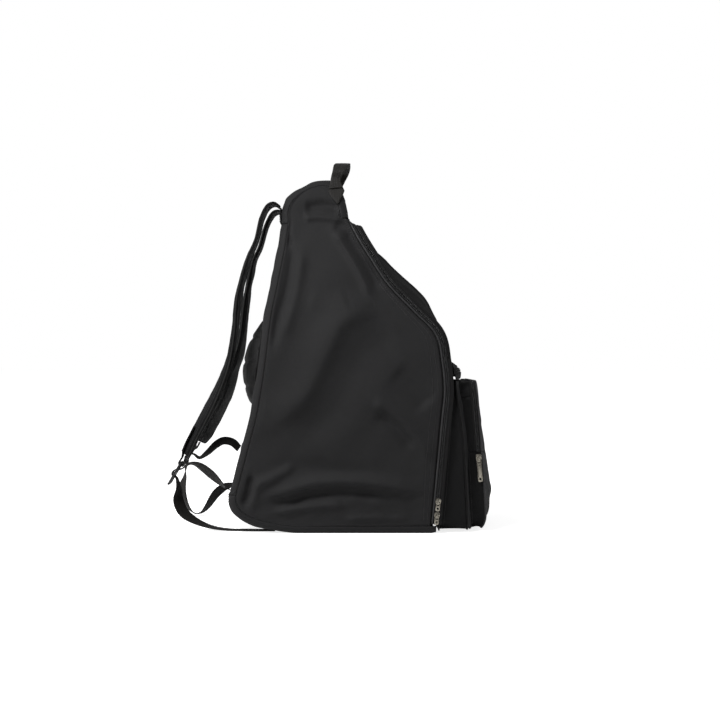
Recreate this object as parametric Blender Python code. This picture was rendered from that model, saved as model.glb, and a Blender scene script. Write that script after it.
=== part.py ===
"""Skate bag: a backpack with a wedge-shaped main compartment for a pair of boots, a zipped front that
folds forward, two stacked front pockets, padded shoulder straps and a webbing grab handle.

Frame: metres, +Z up, the bag stands on Z = 0. -Y is the front with the pockets, +Y is the back with
the shoulder straps, and X runs across the wearer, with the wearer's left at -X.
"""

import math

import bmesh
import bpy
from mathutils import Matrix, Vector

for stale in list(bpy.data.objects):
    bpy.data.objects.remove(stale, do_unlink=True)

# ---------------------------------------------------------------- driving sizes, metres
HEIGHT = 0.508          # floor to the top of the bag, without the handle
DEPTH = 0.285           # main compartment at the base, front to back
BASE_WIDTH = 0.300      # side to side at the base
TOP_WIDTH = 0.176       # side to side where the front zip crosses, below the cap
WALL = 0.0020           # padded nylon panel
GAP = 0.0003            # between pieces that are sewn or laid together
EDGE = 0.010            # radius of the base, back and top panel where it turns to the sides
WEBBING = 0.020         # strap webbing, width
WEBBING_THICK = 0.0016
ZIP_WIDTH = 0.010       # both halves of a closed zip
ZIP_THICK = 0.0016
POCKET_MARGIN = 0.009   # large pocket in from the sides of the front
SMALL_MARGIN = 0.026    # small pocket in from the sides of the front
STRAP_WIDTH = 0.058
STRAP_THICK = 0.009
FOLD_Z = 0.2445         # the front folds forward on this line, above the pockets
POCKET_FOLD_Z = 0.1125  # the small pocket's flap folds forward on this line

X = Vector((1, 0, 0))
KY = DEPTH / 0.285      # the outlines below are drawn for the first two sizes and stretched to them
KZ = HEIGHT / 0.508
# The pockets keep their own depth: they move with the front and with the zip behind them.
POCKET_SHIFT = -0.1337 * (KY - 1) - 1.05 * (ZIP_WIDTH - 0.010)

# Outlines seen from the side, as (y, z). The base, back and top panel in one run: along the floor,
# round the back corner, up the back, over the top and down to the front zip.
WRAP = [(-0.1225, 0.0), (-0.050, 0.0), (0.020, 0.0), (0.075, 0.0), (0.118, 0.006), (0.150, 0.017),
        (0.166, 0.034), (0.1690, 0.053), (0.163, 0.078), (0.153, 0.117), (0.139, 0.172),
        (0.129, 0.235), (0.121, 0.304), (0.1115, 0.355), (0.1025, 0.405), (0.0985, 0.440),
        (0.0990, 0.458), (0.093, 0.476), (0.078, 0.4925), (0.056, 0.5045), (0.034, 0.508),
        (0.0185, 0.500), (0.009, 0.483), (0.0045, 0.463), (0.002, 0.449)]
# Where the sides end and the front zip starts. Its lower run is straight.
ZIP_EDGE = [(-0.1145, 0.0), (-0.1222, 0.080), (-0.1299, 0.160), (-0.1337, 0.200), (-0.1305, 0.240),
            (-0.1210, 0.280), (-0.0900, 0.313), (-0.0550, 0.350), (-0.0300, 0.388),
            (-0.0110, 0.420), (0.0030, 0.449)]
# The middle of the front, which bulges past the zip.
FRONT_MIDDLE = [(-0.1430, 0.236), (-0.1434, 0.2445), (-0.1405, 0.262), (-0.1330, 0.280),
                (-0.1225, 0.306), (-0.1098, 0.332), (-0.0704, 0.367), (-0.0369, 0.402),
                (-0.0150, 0.434), (-0.0050, 0.449)]
LARGE_POCKET_EDGE = [(-0.1675, 0.0), (-0.1604, 0.130), (-0.1500, 0.213), (-0.1495, 0.230)]
SMALL_POCKET_EDGE = [(-0.1845, 0.0), (-0.1785, 0.100), (-0.1720, 0.190), (-0.1690, 0.225)]
SMALL_POCKET_MIDDLE = [(-0.1900, 0.000), (-0.2000, 0.014), (-0.2052, 0.028), (-0.2065, 0.045),
                       (-0.2050, 0.077), (-0.2000, 0.110), (-0.1930, 0.147), (-0.1860, 0.185),
                       (-0.1815, 0.225)]
LUMBAR = [(0.0000, 0.170), (0.0085, 0.185), (0.0185, 0.2065), (0.0235, 0.2255), (0.0215, 0.2576),
          (0.0145, 0.2795), (0.0050, 0.297), (0.0000, 0.308)]   # how far the pad stands off the back
# Half width over height, as fractions of the two widths: 1 is the base width, 0 the top width.
TAPER = [(1.0, 0.0), (0.968, 0.080), (0.936, 0.160), (0.912, 0.210), (0.80, 0.280), (0.55, 0.350),
         (0.23, 0.410), (-0.02, 0.449), (-0.26, 0.478), (-0.46, 0.498), (-0.58, 0.508)]
SMALL_TOP_Z = 0.2130
FLOOR_GAP = 0.0040      # pocket bottoms above the floor
SIDE_SWELL = 0.006      # how far a side panel bellies out


# ---------------------------------------------------------------- shape helpers
def scaled(points):
    return [(y * KY, z * KZ) for y, z in points]


def shifted(points):
    return [(y + POCKET_SHIFT, z * KZ) for y, z in points]


def spline(points, per_segment):
    """A smooth run through these points, each segment cut in per_segment steps."""
    run = []
    for i in range(len(points) - 1):
        p1, p2 = Vector(points[i]), Vector(points[i + 1])
        p0 = Vector(points[i - 1]) if i else p1
        p3 = Vector(points[i + 2]) if i + 2 < len(points) else p2
        m1, m2 = (p2 - p0) / 2, (p3 - p1) / 2
        if not i:
            m1 = p2 - p1
        if i + 2 >= len(points):
            m2 = p2 - p1
        for k in range(per_segment):
            t = k / per_segment
            run.append(p1 * (2 * t**3 - 3 * t**2 + 1) + m1 * (t**3 - 2 * t**2 + t)
                       + p2 * (3 * t**2 - 2 * t**3) + m2 * (t**3 - t**2))
    run.append(Vector(points[-1]))
    return run


def over_height(points, z):
    """The outline's y at this height, by a cubic through its points."""
    zs = [p[1] for p in points]
    ys = [p[0] for p in points]
    if z <= zs[0]:
        return ys[0] + (z - zs[0]) * (ys[1] - ys[0]) / (zs[1] - zs[0])
    if z >= zs[-1]:
        return ys[-1] + (z - zs[-1]) * (ys[-1] - ys[-2]) / (zs[-1] - zs[-2])
    i = max(k for k in range(len(zs) - 1) if zs[k] <= z)

    def slope(k):
        if k == 0:
            return (ys[1] - ys[0]) / (zs[1] - zs[0])
        if k == len(zs) - 1:
            return (ys[-1] - ys[-2]) / (zs[-1] - zs[-2])
        below = (ys[k] - ys[k - 1]) / (zs[k] - zs[k - 1])
        above = (ys[k + 1] - ys[k]) / (zs[k + 1] - zs[k])
        return (below + above) / 2

    h = zs[i + 1] - zs[i]
    t = (z - zs[i]) / h
    return ((2 * t**3 - 3 * t**2 + 1) * ys[i] + (t**3 - 2 * t**2 + t) * h * slope(i)
            + (3 * t**2 - 2 * t**3) * ys[i + 1] + (t**3 - t**2) * h * slope(i + 1))


ZIP_EDGE, FRONT_MIDDLE = scaled(ZIP_EDGE), scaled(FRONT_MIDDLE)
LARGE_POCKET_EDGE, SMALL_POCKET_EDGE = shifted(LARGE_POCKET_EDGE), shifted(SMALL_POCKET_EDGE)
SMALL_POCKET_MIDDLE, LUMBAR = shifted(SMALL_POCKET_MIDDLE), scaled(LUMBAR)
TAPER = [(f, z * KZ) for f, z in TAPER]
FOLD_Z, POCKET_FOLD_Z = FOLD_Z * KZ, POCKET_FOLD_Z * KZ
SMALL_TOP_Z = SMALL_TOP_Z * KZ
WRAP_RUN = [Vector((p[0], max(p[1], 0.0))) for p in spline(scaled(WRAP), 2)]


def half_width(z):
    return (TOP_WIDTH + (BASE_WIDTH - TOP_WIDTH) * over_height(TAPER, z)) / 2


def zip_y(z):
    return over_height(ZIP_EDGE, z)


def zip_front_y(z):
    """The front edge of the zip, at the same height."""
    slope = (zip_y(z + 0.001) - zip_y(z - 0.001)) / 0.002
    return zip_y(z) - (ZIP_WIDTH + GAP) * math.sqrt(1 + slope**2)


def wrap_inward(i):
    """The wrap's direction into the bag at its point i."""
    along = WRAP_RUN[min(i + 1, len(WRAP_RUN) - 1)] - WRAP_RUN[max(i - 1, 0)]
    return Vector((-along[1], along[0])).normalized()


def back_y(z):
    """The back panel's outside at this height."""
    found = [a[0] + (b[0] - a[0]) * (z - a[1]) / (b[1] - a[1])
             for a, b in zip(WRAP_RUN, WRAP_RUN[1:]) if a[1] <= z < b[1]]
    return max(found)


# ---------------------------------------------------------------- solids
COLOURS = {"nylon": (0.022, 0.022, 0.024), "dark": (0.010, 0.010, 0.011),
           "webbing": (0.016, 0.015, 0.014), "plastic": (0.012, 0.012, 0.013),
           "metal": (0.62, 0.56, 0.46), "board": (0.10, 0.10, 0.10)}


def solid(name, vertices, faces, kind, origin=(0, 0, 0), smooth=True):
    mesh = bpy.data.meshes.new(name)
    mesh.from_pydata([tuple(Vector(v) - Vector(origin)) for v in vertices], [], faces)
    shell = bmesh.new()
    shell.from_mesh(mesh)
    bmesh.ops.recalc_face_normals(shell, faces=shell.faces)
    shell.to_mesh(mesh)
    shell.free()
    if smooth:
        mesh.shade_smooth()
        mesh.set_sharp_from_angle(angle=math.radians(40))
    material = bpy.data.materials.new(name)
    material.use_nodes = True
    shader = material.node_tree.nodes["Principled BSDF"]
    shader.inputs["Base Color"].default_value = (*COLOURS[kind], 1)
    shader.inputs["Roughness"].default_value = 0.35 if kind in ("metal", "plastic") else 0.75
    shader.inputs["Metallic"].default_value = 1.0 if kind == "metal" else 0.0
    mesh.materials.append(material)
    obj = bpy.data.objects.new(name, mesh)
    obj.location = origin
    bpy.context.scene.collection.objects.link(obj)
    return obj


def shell_faces(rows, columns, ring=False):
    """Faces of two layers of rows x columns points, outer then inner, closed round their rim."""
    inner = rows * columns
    faces = []
    last = columns if ring else columns - 1
    for i in range(rows - 1):
        for j in range(last):
            a, b = i * columns + j, i * columns + (j + 1) % columns
            c, d = b + columns, a + columns
            faces += [(a, b, c, d), (inner + d, inner + c, inner + b, inner + a)]
    for i in (0, rows - 1):
        for j in range(last):
            a, b = i * columns + j, i * columns + (j + 1) % columns
            faces.append((a, b, inner + b, inner + a))
    if not ring:
        for j in (0, columns - 1):
            for i in range(rows - 1):
                a, b = i * columns + j, (i + 1) * columns + j
                faces.append((a, b, inner + b, inner + a))
    return faces


def two_faces(name, outer, inner, kind="nylon", origin=(0, 0, 0)):
    """A panel between two layers of rows of points."""
    vertices = [p for row in outer for p in row] + [p for row in inner for p in row]
    return solid(name, vertices, shell_faces(len(outer), len(outer[0])), kind, origin)


def sweep(name, sections, kind, origin=(0, 0, 0)):
    """A solid through these closed loops of points, capped at both ends."""
    m = len(sections[0])
    faces = [(i * m + j, i * m + (j + 1) % m, (i + 1) * m + (j + 1) % m, (i + 1) * m + j)
             for i in range(len(sections) - 1) for j in range(m)]
    faces += [tuple(range(m)), tuple(range((len(sections) - 1) * m, len(sections) * m))]
    return solid(name, [p for loop in sections for p in loop], faces, kind, origin)


def tangents(path):
    return [(path[min(i + 1, len(path) - 1)] - path[max(i - 1, 0)]).normalized()
            for i in range(len(path))]


def ribbon(name, path, width, thick, across=X, kind="webbing", origin=(0, 0, 0)):
    """Flat webbing along a path. width and across may be one value or one for each point."""
    sections = []
    for i, (p, t) in enumerate(zip(path, tangents(path))):
        w = width[i] if isinstance(width, list) else width
        side = (across[i] if isinstance(across, list) else across)
        side = (side - t * side.dot(t)).normalized() * w / 2
        up = t.cross(side).normalized() * thick / 2
        sections.append([p - side - up, p + side - up, p + side + up, p - side + up])
    return sweep(name, sections, kind, origin)


def bead(name, path, radius, kind="nylon", sides=6):
    sections = []
    for p, t in zip(path, tangents(path)):
        a = t.cross(Vector((0.31, 0.2, 0.93)) if abs(t[2]) < 0.7 else X).normalized()
        b = t.cross(a)
        sections.append([p + (a * math.cos(k * math.tau / sides) + b * math.sin(k * math.tau / sides))
                         * radius for k in range(sides)])
    return sweep(name, sections, kind)


def padded(name, path, widths, thicks, turns, kind="nylon", origin=(0, 0, 0)):
    """A strap pad along a path with rounded long edges, turned this far about it from flat across X."""
    sections = []
    for p, t, w, thick, turn in zip(path, tangents(path), widths, thicks, turns):
        up = t.cross(X).normalized()
        wide = X * math.cos(turn) + up * math.sin(turn)
        up = t.cross(wide).normalized()
        loop = []
        for s, c in ((-1, -0.55), (-0.93, -1), (0, -1.12), (0.93, -1), (1, -0.55),
                     (1, 0.55), (0.93, 1), (0, 1.12), (-0.93, 1), (-1, 0.55)):
            loop.append(p + wide * s * w / 2 + up * c * thick / 2)
        sections.append(loop)
    return sweep(name, sections, kind, origin)


def slab(name, low, high, kind):
    """A box between two corners."""
    corners = [Vector((x, y, z)) for x in (low[0], high[0]) for y in (low[1], high[1])
               for z in (low[2], high[2])]
    faces = [(0, 1, 3, 2), (4, 6, 7, 5), (0, 4, 5, 1), (2, 3, 7, 6), (0, 2, 6, 4), (1, 5, 7, 3)]
    return solid(name, corners, faces, kind, smooth=False)


def combine(obj, helper, operation):
    helper.hide_render = True
    helper.display_type = "WIRE"
    modifier = obj.modifiers.new(operation.lower(), "BOOLEAN")
    modifier.operation = operation
    modifier.solver = "EXACT"
    modifier.object = helper


def plate(name, outline, thick, frame, kind, origin=(0, 0, 0)):
    """An outline in the frame's own u, v, thick along its w: frame is (at, u, v, w)."""
    at, u, v, w = frame
    loops = [[at + u * a + v * b + w * c for a, b in outline] for c in (-thick / 2, thick / 2)]
    return sweep(name, loops, kind, origin)


# ---------------------------------------------------------------- base, back and cap
def wrap_panel(name, first, last):
    """Part of the wrap between two of its points, its long edges turned in towards the sides."""
    layers = ([], [])
    for i in range(first, last + 1):
        p, n = WRAP_RUN[i].copy(), wrap_inward(i)
        along = Vector((n[1], -n[0]))
        p += along * (GAP / 2 if i == first else -GAP / 2 if i == last else 0)
        w = half_width(p[1])
        for layer, radius in zip(layers, (EDGE, EDGE - WALL)):
            turn = [math.radians(a) for a in (0, 30, 60, 90)]
            half = [(-w + EDGE - radius * math.cos(a), EDGE - radius * math.sin(a)) for a in turn]
            half += [((w - EDGE) * k, EDGE - radius) for k in (-0.6, -0.2)]
            row = half + [(-x, d) for x, d in reversed(half)]
            layer.append([Vector((x, p[0] + n[0] * d, p[1] + n[1] * d)) for x, d in row])
    return two_faces(name, *layers)


def nearest_wrap(y, z):
    target = Vector((y * KY, z * KZ))
    return min(range(len(WRAP_RUN)), key=lambda i: (WRAP_RUN[i] - target).length)


BACK_START = nearest_wrap(0.1690, 0.053)
CAP_START = nearest_wrap(0.0985, 0.440)
wrap_panel("base_panel", 0, BACK_START)
wrap_panel("back_panel", BACK_START, CAP_START)
wrap_panel("top_cap", CAP_START, len(WRAP_RUN) - 1)

# ---------------------------------------------------------------- sides
SEAM = [WRAP_RUN[i] + wrap_inward(i) * (EDGE + 2 * GAP) for i in range(len(WRAP_RUN))]
CAP_FRONT_Z = WRAP_RUN[-1][1]


def seam_y(z, front):
    """Where the seam of the wrap crosses this height, at the back or at the front of the cap."""
    found = [a[0] + (b[0] - a[0]) * (z - a[1]) / (b[1] - a[1]) for a, b in zip(SEAM, SEAM[1:])
             if (a[1] <= z < b[1] or b[1] <= z < a[1])]
    return min(found) if front else max(found)


def side_panel(name, sign):
    layers = ([], [])
    low = EDGE + 3 * GAP
    top = max(p[1] for p in SEAM) - 0.0015
    heights = [low, 0.014, 0.020, 0.029, 0.041, 0.056, 0.075, 0.10, 0.13, 0.16, 0.19, 0.22, 0.25,
               0.275, 0.29, 0.305, 0.32, 0.34, 0.36, 0.38, 0.40, 0.42, 0.437]
    heights = [low] + [h * KZ for h in heights[1:]]
    heights += [CAP_FRONT_Z - 0.0040, CAP_FRONT_Z - 0.0034, CAP_FRONT_Z + 0.0005]
    heights += [CAP_FRONT_Z + (top - CAP_FRONT_Z) * f for f in (0.3, 0.6, 0.8, 0.92, 1.0)]
    for z in heights:
        back = seam_y(z, False) if z > low + 1e-6 else 0.075 * KY
        if z > CAP_FRONT_Z:
            front = seam_y(z, True)
        elif z > CAP_FRONT_Z - 0.0035:
            front = SEAM[-1][0] + 0.0006
        else:
            slope = (zip_y(z + 0.001) - zip_y(z - 0.001)) / 0.002
            front = zip_y(z) + 0.0021 * math.sqrt(1 + slope**2)
        for layer, wall in zip(layers, (0.0, WALL)):
            layer.append([])
            for k in range(11):
                t = k / 10
                upright = math.sin(math.pi * min(z / CAP_FRONT_Z, 1.0)) ** 0.5
                swell = SIDE_SWELL * math.sin(math.pi * t) * upright
                x = sign * (half_width(z) + swell - wall)
                layer[-1].append(Vector((x, back + (front - back) * t, z)))
    return two_faces(name, *layers)


side_panel("side_panel_left", -1)
side_panel("side_panel_right", 1)


# ---------------------------------------------------------------- front zip and front
def front_frames():
    """The zip edge as (point, towards the front panel, outwards), from the left bottom over the top."""
    side = []
    heights = [0.0135, 0.05, 0.10, 0.16, 0.185, 0.21, 0.23, 0.2445, 0.26, 0.275, 0.29, 0.305, 0.32,
               0.34, 0.36, 0.38, 0.40, 0.415, 0.428]
    for z in heights:
        z *= KZ
        t = Vector((0, zip_y(z + 0.001) - zip_y(z - 0.001), 0.002)).normalized()
        o = Vector((0, -t[2], t[1]))
        side.append((Vector((-half_width(z), zip_y(z), z)), o, Vector((-1, 0, 0))))
    top_at = Vector((0, 0.0018 * KY, CAP_FRONT_Z - 0.0022))
    down = Vector((0, -0.50, -0.866))
    out = Vector((0, -0.866, 0.50))
    end, o_end, f_end = side[-1]
    start = Vector((-half_width(top_at[2]) + 0.016, top_at[1], top_at[2]))
    for k in (1, 2, 3):
        f = k / 4
        corner = Vector((-half_width(top_at[2]) + 0.001, top_at[1] + 0.0004, top_at[2] - 0.003))
        p = end * (1 - f) ** 2 + corner * 2 * f * (1 - f) + start * f**2
        towards = (o_end * (1 - f) + down * f).normalized()
        side.append((p, towards, (f_end * (1 - f) + out * f).normalized()))
    half = side + [(start, down, out)]
    mirrored = [tuple(Vector((-v[0], v[1], v[2])) for v in frame) for frame in reversed(half)]
    return half, half + [(Vector((0, top_at[1], top_at[2])), down, out)] + mirrored


HALF_FRAMES, FRAMES = front_frames()


def frame_strip(name, frames, near, far, kind="dark", depth=ZIP_THICK):
    """A strip along the zip, from near to far in front of the zip edge."""
    sections = []
    for p, o, f in frames:
        a, b = p + o * near, p + o * far
        sections.append([a, b, b - f * depth, a - f * depth])
    return sweep(name, sections, kind)


FOLD = [k for k, (p, o, f) in enumerate(HALF_FRAMES) if abs(p[2] - FOLD_Z) < 1e-6][0]
HALF_ZIP = ZIP_WIDTH / 2
upper = FRAMES[FOLD:len(FRAMES) - FOLD]
bead("front_piping", [p - f * 0.0006 for p, o, f in FRAMES], 0.0013)
frame_strip("front_zip_fixed", upper, 0.0019, HALF_ZIP - GAP)


def lifted(frames, amount):
    """The same frames with both ends moved up the zip a little."""
    moved = list(frames)
    for end, towards in ((0, 1), (-1, -2)):
        p, o, f = frames[end]
        moved[end] = (p + (frames[towards][0] - p).normalized() * amount, o, f)
    return moved


frame_strip("front_zip_flap", lifted(upper, 2 * GAP), HALF_ZIP + GAP, ZIP_WIDTH)
for label, run in (("left", FRAMES[:FOLD + 1]), ("right", FRAMES[len(FRAMES) - FOLD - 1:])):
    end = -1 if label == "left" else 0
    p, o, f = run[end]
    towards = run[-2][0] if label == "left" else run[1][0]
    run = list(run)
    run[end] = (p + (towards - p).normalized() * 2 * GAP, o, f)
    frame_strip("front_zip_lower_" + label, run, 0.0019, ZIP_WIDTH)


def bulged_row(left, middle_y, power, columns=13):
    """A row from this point at the left to its mirror image, bulging to middle_y."""
    row = []
    for k in range(columns):
        u = -1 + 2 * k / (columns - 1)
        u = math.copysign(1 - (1 - abs(u)) ** 1.35, u)
        y = left[1] + (middle_y - left[1]) * (1 - abs(u) ** power)
        row.append(Vector((-left[0] * u, y, left[2])))
    return row


def lined(row, side_out, middle_out, wall=WALL):
    """The inner face of such a row. Its offset turns from one direction at the ends to another."""
    inner = []
    for p in row:
        u = abs(p[0] / row[0][0])
        out = Vector((math.copysign(side_out[0], p[0]), side_out[1], side_out[2]))
        inner.append(p - (middle_out * (1 - u**4) + out * u**4).normalized() * wall)
    return inner


def middle_out(outline, z):
    slope = (over_height(outline, z + 0.001) - over_height(outline, z - 0.001)) / 0.002
    return Vector((0, -1, slope)).normalized()


FORWARD = Vector((0, -1, 0))
FOLD_AXIS = (0, over_height(FRONT_MIDDLE, FOLD_Z) + 0.0010, FOLD_Z)
outer, inner = [], []
for k, (p, o, f) in enumerate(HALF_FRAMES[FOLD:]):
    edge = p + o * (ZIP_WIDTH + 2 * GAP)
    if k == 0:
        edge[2] = FOLD_Z + 2 * GAP
    middle = min(over_height(FRONT_MIDDLE, edge[2]), edge[1] - 0.0004)
    outer.append(bulged_row(edge, middle, 2.6))
    inner.append(lined(outer[-1], f, middle_out(FRONT_MIDDLE, edge[2]) if abs(f[0]) > 0.3 else f))
two_faces("front_flap", outer, inner, origin=FOLD_AXIS)


# ---------------------------------------------------------------- pockets
LARGE_SIDE_TOP = 0.2120 * KZ
LARGE_CORNER = 0.018


def panel_y(z):
    """The front panel behind the pockets, outside face."""
    return zip_front_y(z) - 0.0010


outer, inner = [], []
for z in (FLOOR_GAP, 0.04 * KZ, 0.09 * KZ, 0.14 * KZ, 0.19 * KZ, LARGE_SIDE_TOP, FOLD_Z - 2 * GAP):
    w = half_width(z) - ZIP_THICK - 2 * GAP
    outer.append([Vector((w * u, panel_y(z), z)) for u in (-1, -0.6, 0, 0.6, 1)])
    inner.append([p - FORWARD * WALL for p in outer[-1]])
two_faces("front_lower_panel", outer, inner)


def large_half(z):
    return half_width(z) - POCKET_MARGIN


def large_front_y(x, z):
    """The large pocket's front face."""
    u = min(abs(x) / large_half(z), 1.0)
    return over_height(LARGE_POCKET_EDGE, z) - 0.012 * (1 - u**3)


def round_loop(half, bottom, top, corner, levels, open_top=False):
    """Points (x, z) round a pocket from its left side, along the bottom and up the right side.
    Its upper end is open at top, or closed with rounded corners."""
    left = [(-half(z), z) for z in [top - (0 if open_top else corner), *levels]]
    w = half(bottom + corner)
    turn = [math.radians(d) for d in (0, 30, 60, 90)]
    left += [(-w + corner - corner * math.cos(a), bottom + corner - corner * math.sin(a)) for a in turn]
    left.append((-w * 0.45, bottom))
    loop = left + [(0.0, bottom)] + [(-x, z) for x, z in reversed(left)]
    if not open_top:
        w = half(top - corner)
        turn = [math.radians(d) for d in (30, 60, 90)]
        arc = [(w - corner + corner * math.cos(a), top - corner + corner * math.sin(a)) for a in turn]
        loop += arc + [(w * 0.45, top), (0.0, top), (-w * 0.45, top)]
        loop += [(-x, z) for x, z in reversed(arc)]
    return loop


def inset(loop, centre_z, wall):
    """The same loop, moved in by wall."""
    moved = []
    n = len(loop)
    for k, (x, z) in enumerate(loop):
        a, b = Vector(loop[max(k - 1, 0)]), Vector(loop[min(k + 1, n - 1)])
        out = Vector(((b - a)[1], -(b - a)[0])).normalized()
        if out.dot(Vector((x, z - centre_z))) < 0:
            out.negate()
        moved.append((x - out[0] * wall, z - out[1] * wall))
    return moved


def pocket_band(name, loop, rear, front, kind, closed, wall=WALL):
    """A band of fabric round a pocket, from rear(x, z) to front(x, z)."""
    zs = [z for x, z in loop]
    layers = []
    for run in (loop, inset(loop, (min(zs) + max(zs)) / 2, wall)):
        layers.append([[Vector((x, rear(x, z) + (front(x, z) - rear(x, z)) * t, z)) for x, z in run]
                       for t in (0.0, 0.5, 1.0)])
    vertices = [p for layer in layers for row in layer for p in row]
    return solid(name, vertices, shell_faces(3, len(loop), closed), kind)


LARGE_LEVELS = [0.19 * KZ, 0.14 * KZ, 0.09 * KZ, 0.04 * KZ]
LARGE_LOOP = round_loop(large_half, FLOOR_GAP, LARGE_SIDE_TOP, LARGE_CORNER, LARGE_LEVELS, open_top=True)
pocket_band("large_pocket_gusset", LARGE_LOOP, lambda x, z: panel_y(z) - 2 * GAP,
            lambda x, z: over_height(LARGE_POCKET_EDGE, z) + WALL + 2 * GAP, "dark", False)


def corner_half(half, z, bottom, corner):
    """Half width at a height, where the lower corners are rounded."""
    if z >= bottom + corner:
        return half(z)
    rise = corner - (z - bottom)
    return half(bottom + corner) - corner + math.sqrt(max(corner**2 - rise**2, 0.0))


outer, inner = [], []
for z in (FLOOR_GAP + 0.0005, FLOOR_GAP + 0.004, FLOOR_GAP + 0.010, FLOOR_GAP + LARGE_CORNER,
          0.05 * KZ, 0.09 * KZ, 0.13 * KZ, 0.17 * KZ, 0.20 * KZ, 0.2135 * KZ):
    w = corner_half(large_half, z, FLOOR_GAP, LARGE_CORNER)
    outer.append([Vector((w * u, large_front_y(w * u, z), z))
                  for u in (-1, -0.9, -0.75, -0.5, -0.25, 0, 0.25, 0.5, 0.75, 0.9, 1)])
    inner.append([p - FORWARD * WALL for p in outer[-1]])
two_faces("large_pocket_front", outer, inner)

# The large pocket's top slopes up to the bag in three strips: front lip, zip, rear lip.
LIP_LOW = Vector((-0.1510 + POCKET_SHIFT, 0.2152 * KZ))
LIP_HIGH = Vector((-0.1455 + POCKET_SHIFT, 0.2385 * KZ))


def top_strip(name, t0, t1, kind, wall):
    """A strip across the top of the large pocket between two fractions of its slope."""
    outer, inner = [], []
    for t in (t0, (t0 + t1) / 2, t1):
        row, lower = [], []
        for k in range(11):
            u = -1 + k / 5
            bulge = 1 - abs(u) ** (3 + 3 * min(t / 0.3, 1))
            low = Vector((LIP_LOW[0] - 0.012 * bulge, LIP_LOW[1] + 0.003 * bulge))
            high = Vector((LIP_HIGH[0] - 0.002 * bulge, LIP_HIGH[1] + 0.002 * bulge))
            p = low + (high - low) * t
            swell = Vector((-0.0035, 0.0015)) * math.sin(math.pi * t) * bulge
            p += swell
            w = large_half(p[1]) - 0.001
            row.append(Vector((w * u, p[0], p[1])))
            lower.append(Vector((w * u, p[0] + wall * 0.80, p[1] - wall * 0.60)))
        outer.append(row)
        inner.append(lower)
    return two_faces(name, outer, inner, kind)


top_strip("large_pocket_front_lip", 0.0, 0.30, "nylon", WALL)
top_strip("large_pocket_zip", 0.325, 0.62, "dark", ZIP_THICK)
top_strip("large_pocket_rear_lip", 0.645, 1.0, "nylon", WALL)


def small_half(z):
    return half_width(z) - SMALL_MARGIN


SMALL_CORNER = 0.022
SMALL_LEVELS = [0.16 * KZ, 0.13 * KZ, POCKET_FOLD_Z + GAP, POCKET_FOLD_Z - GAP, 0.08 * KZ, 0.05 * KZ]
SMALL_LOOP = round_loop(small_half, FLOOR_GAP, SMALL_TOP_Z, SMALL_CORNER, SMALL_LEVELS)


def small_edge_y(z):
    return over_height(SMALL_POCKET_EDGE, z)


pocket_band("small_pocket_gusset", SMALL_LOOP, lambda x, z: large_front_y(x, z) - 2 * GAP,
            lambda x, z: small_edge_y(z) - (ZIP_WIDTH if z < POCKET_FOLD_Z else 0.0), "dark", True)


def small_frames():
    """The small pocket's zip as (point, forwards, outwards), from its right fold over the top to its left."""
    run = [p for p in SMALL_LOOP if p[1] > POCKET_FOLD_Z and p[0] >= 0]
    right = [p for p in run if p[0] > 1e-6]
    right.sort(key=lambda p: (round(p[1], 5), -p[0]))
    points = right + [(0.0, SMALL_TOP_Z)] + [(-x, z) for x, z in reversed(right)]
    frames = []
    for k, (x, z) in enumerate(points):
        a, b = Vector(points[max(k - 1, 0)]), Vector(points[min(k + 1, len(points) - 1)])
        out = Vector(((b - a)[1], 0, -(b - a)[0])).normalized()
        frames.append((Vector((x, small_edge_y(z), z)), FORWARD, out))
    return frames


SMALL_FRAMES = small_frames()
frame_strip("small_pocket_zip_fixed", SMALL_FRAMES, 2 * GAP, HALF_ZIP - GAP)
frame_strip("small_pocket_zip_flap", SMALL_FRAMES, HALF_ZIP + GAP, ZIP_WIDTH)
SMALL_AXIS = (0, over_height(SMALL_POCKET_MIDDLE, POCKET_FOLD_Z) - GAP, POCKET_FOLD_Z)


def small_face(name, heights, origin=(0, 0, 0)):
    outer, inner = [], []
    for z in heights:
        top, bottom = SMALL_TOP_Z - SMALL_CORNER, FLOOR_GAP + SMALL_CORNER
        rise = (max(z - top, 0.0) - max(bottom - z, 0.0)) / SMALL_CORNER
        level = math.sqrt(max(1 - rise**2, 0.0))
        w = small_half(min(max(z, bottom), top)) - SMALL_CORNER * (1 - level)
        edge = Vector((-w, small_edge_y(z) - ZIP_WIDTH - 2 * GAP, z))
        middle = over_height(SMALL_POCKET_MIDDLE, z)
        tilt = rise**3
        outer.append(bulged_row(edge, min(middle, edge[1] - 0.0005), 2.4))
        facing = Vector((0, -math.sqrt(1 - tilt**2), tilt))
        inner.append(lined(outer[-1], Vector((1, 0, rise * 0.9)), facing))
    two_faces(name, outer, inner, origin=origin)


small_face("small_pocket_front", [FLOOR_GAP + h for h in (0.0003, 0.003, 0.010, SMALL_CORNER)]
           + [h * KZ for h in (0.045, 0.07, 0.095)] + [POCKET_FOLD_Z - 2 * GAP])
small_face("small_pocket_flap", [POCKET_FOLD_Z + 2 * GAP] + [h * KZ for h in (0.13, 0.15, 0.17)]
           + [SMALL_TOP_Z - SMALL_CORNER * f for f in (1.0, 0.6, 0.3, 0.12, 0.01)], SMALL_AXIS)


# ---------------------------------------------------------------- back pad and stiffeners
def behind(z, off):
    return back_y(z) + off


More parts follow.
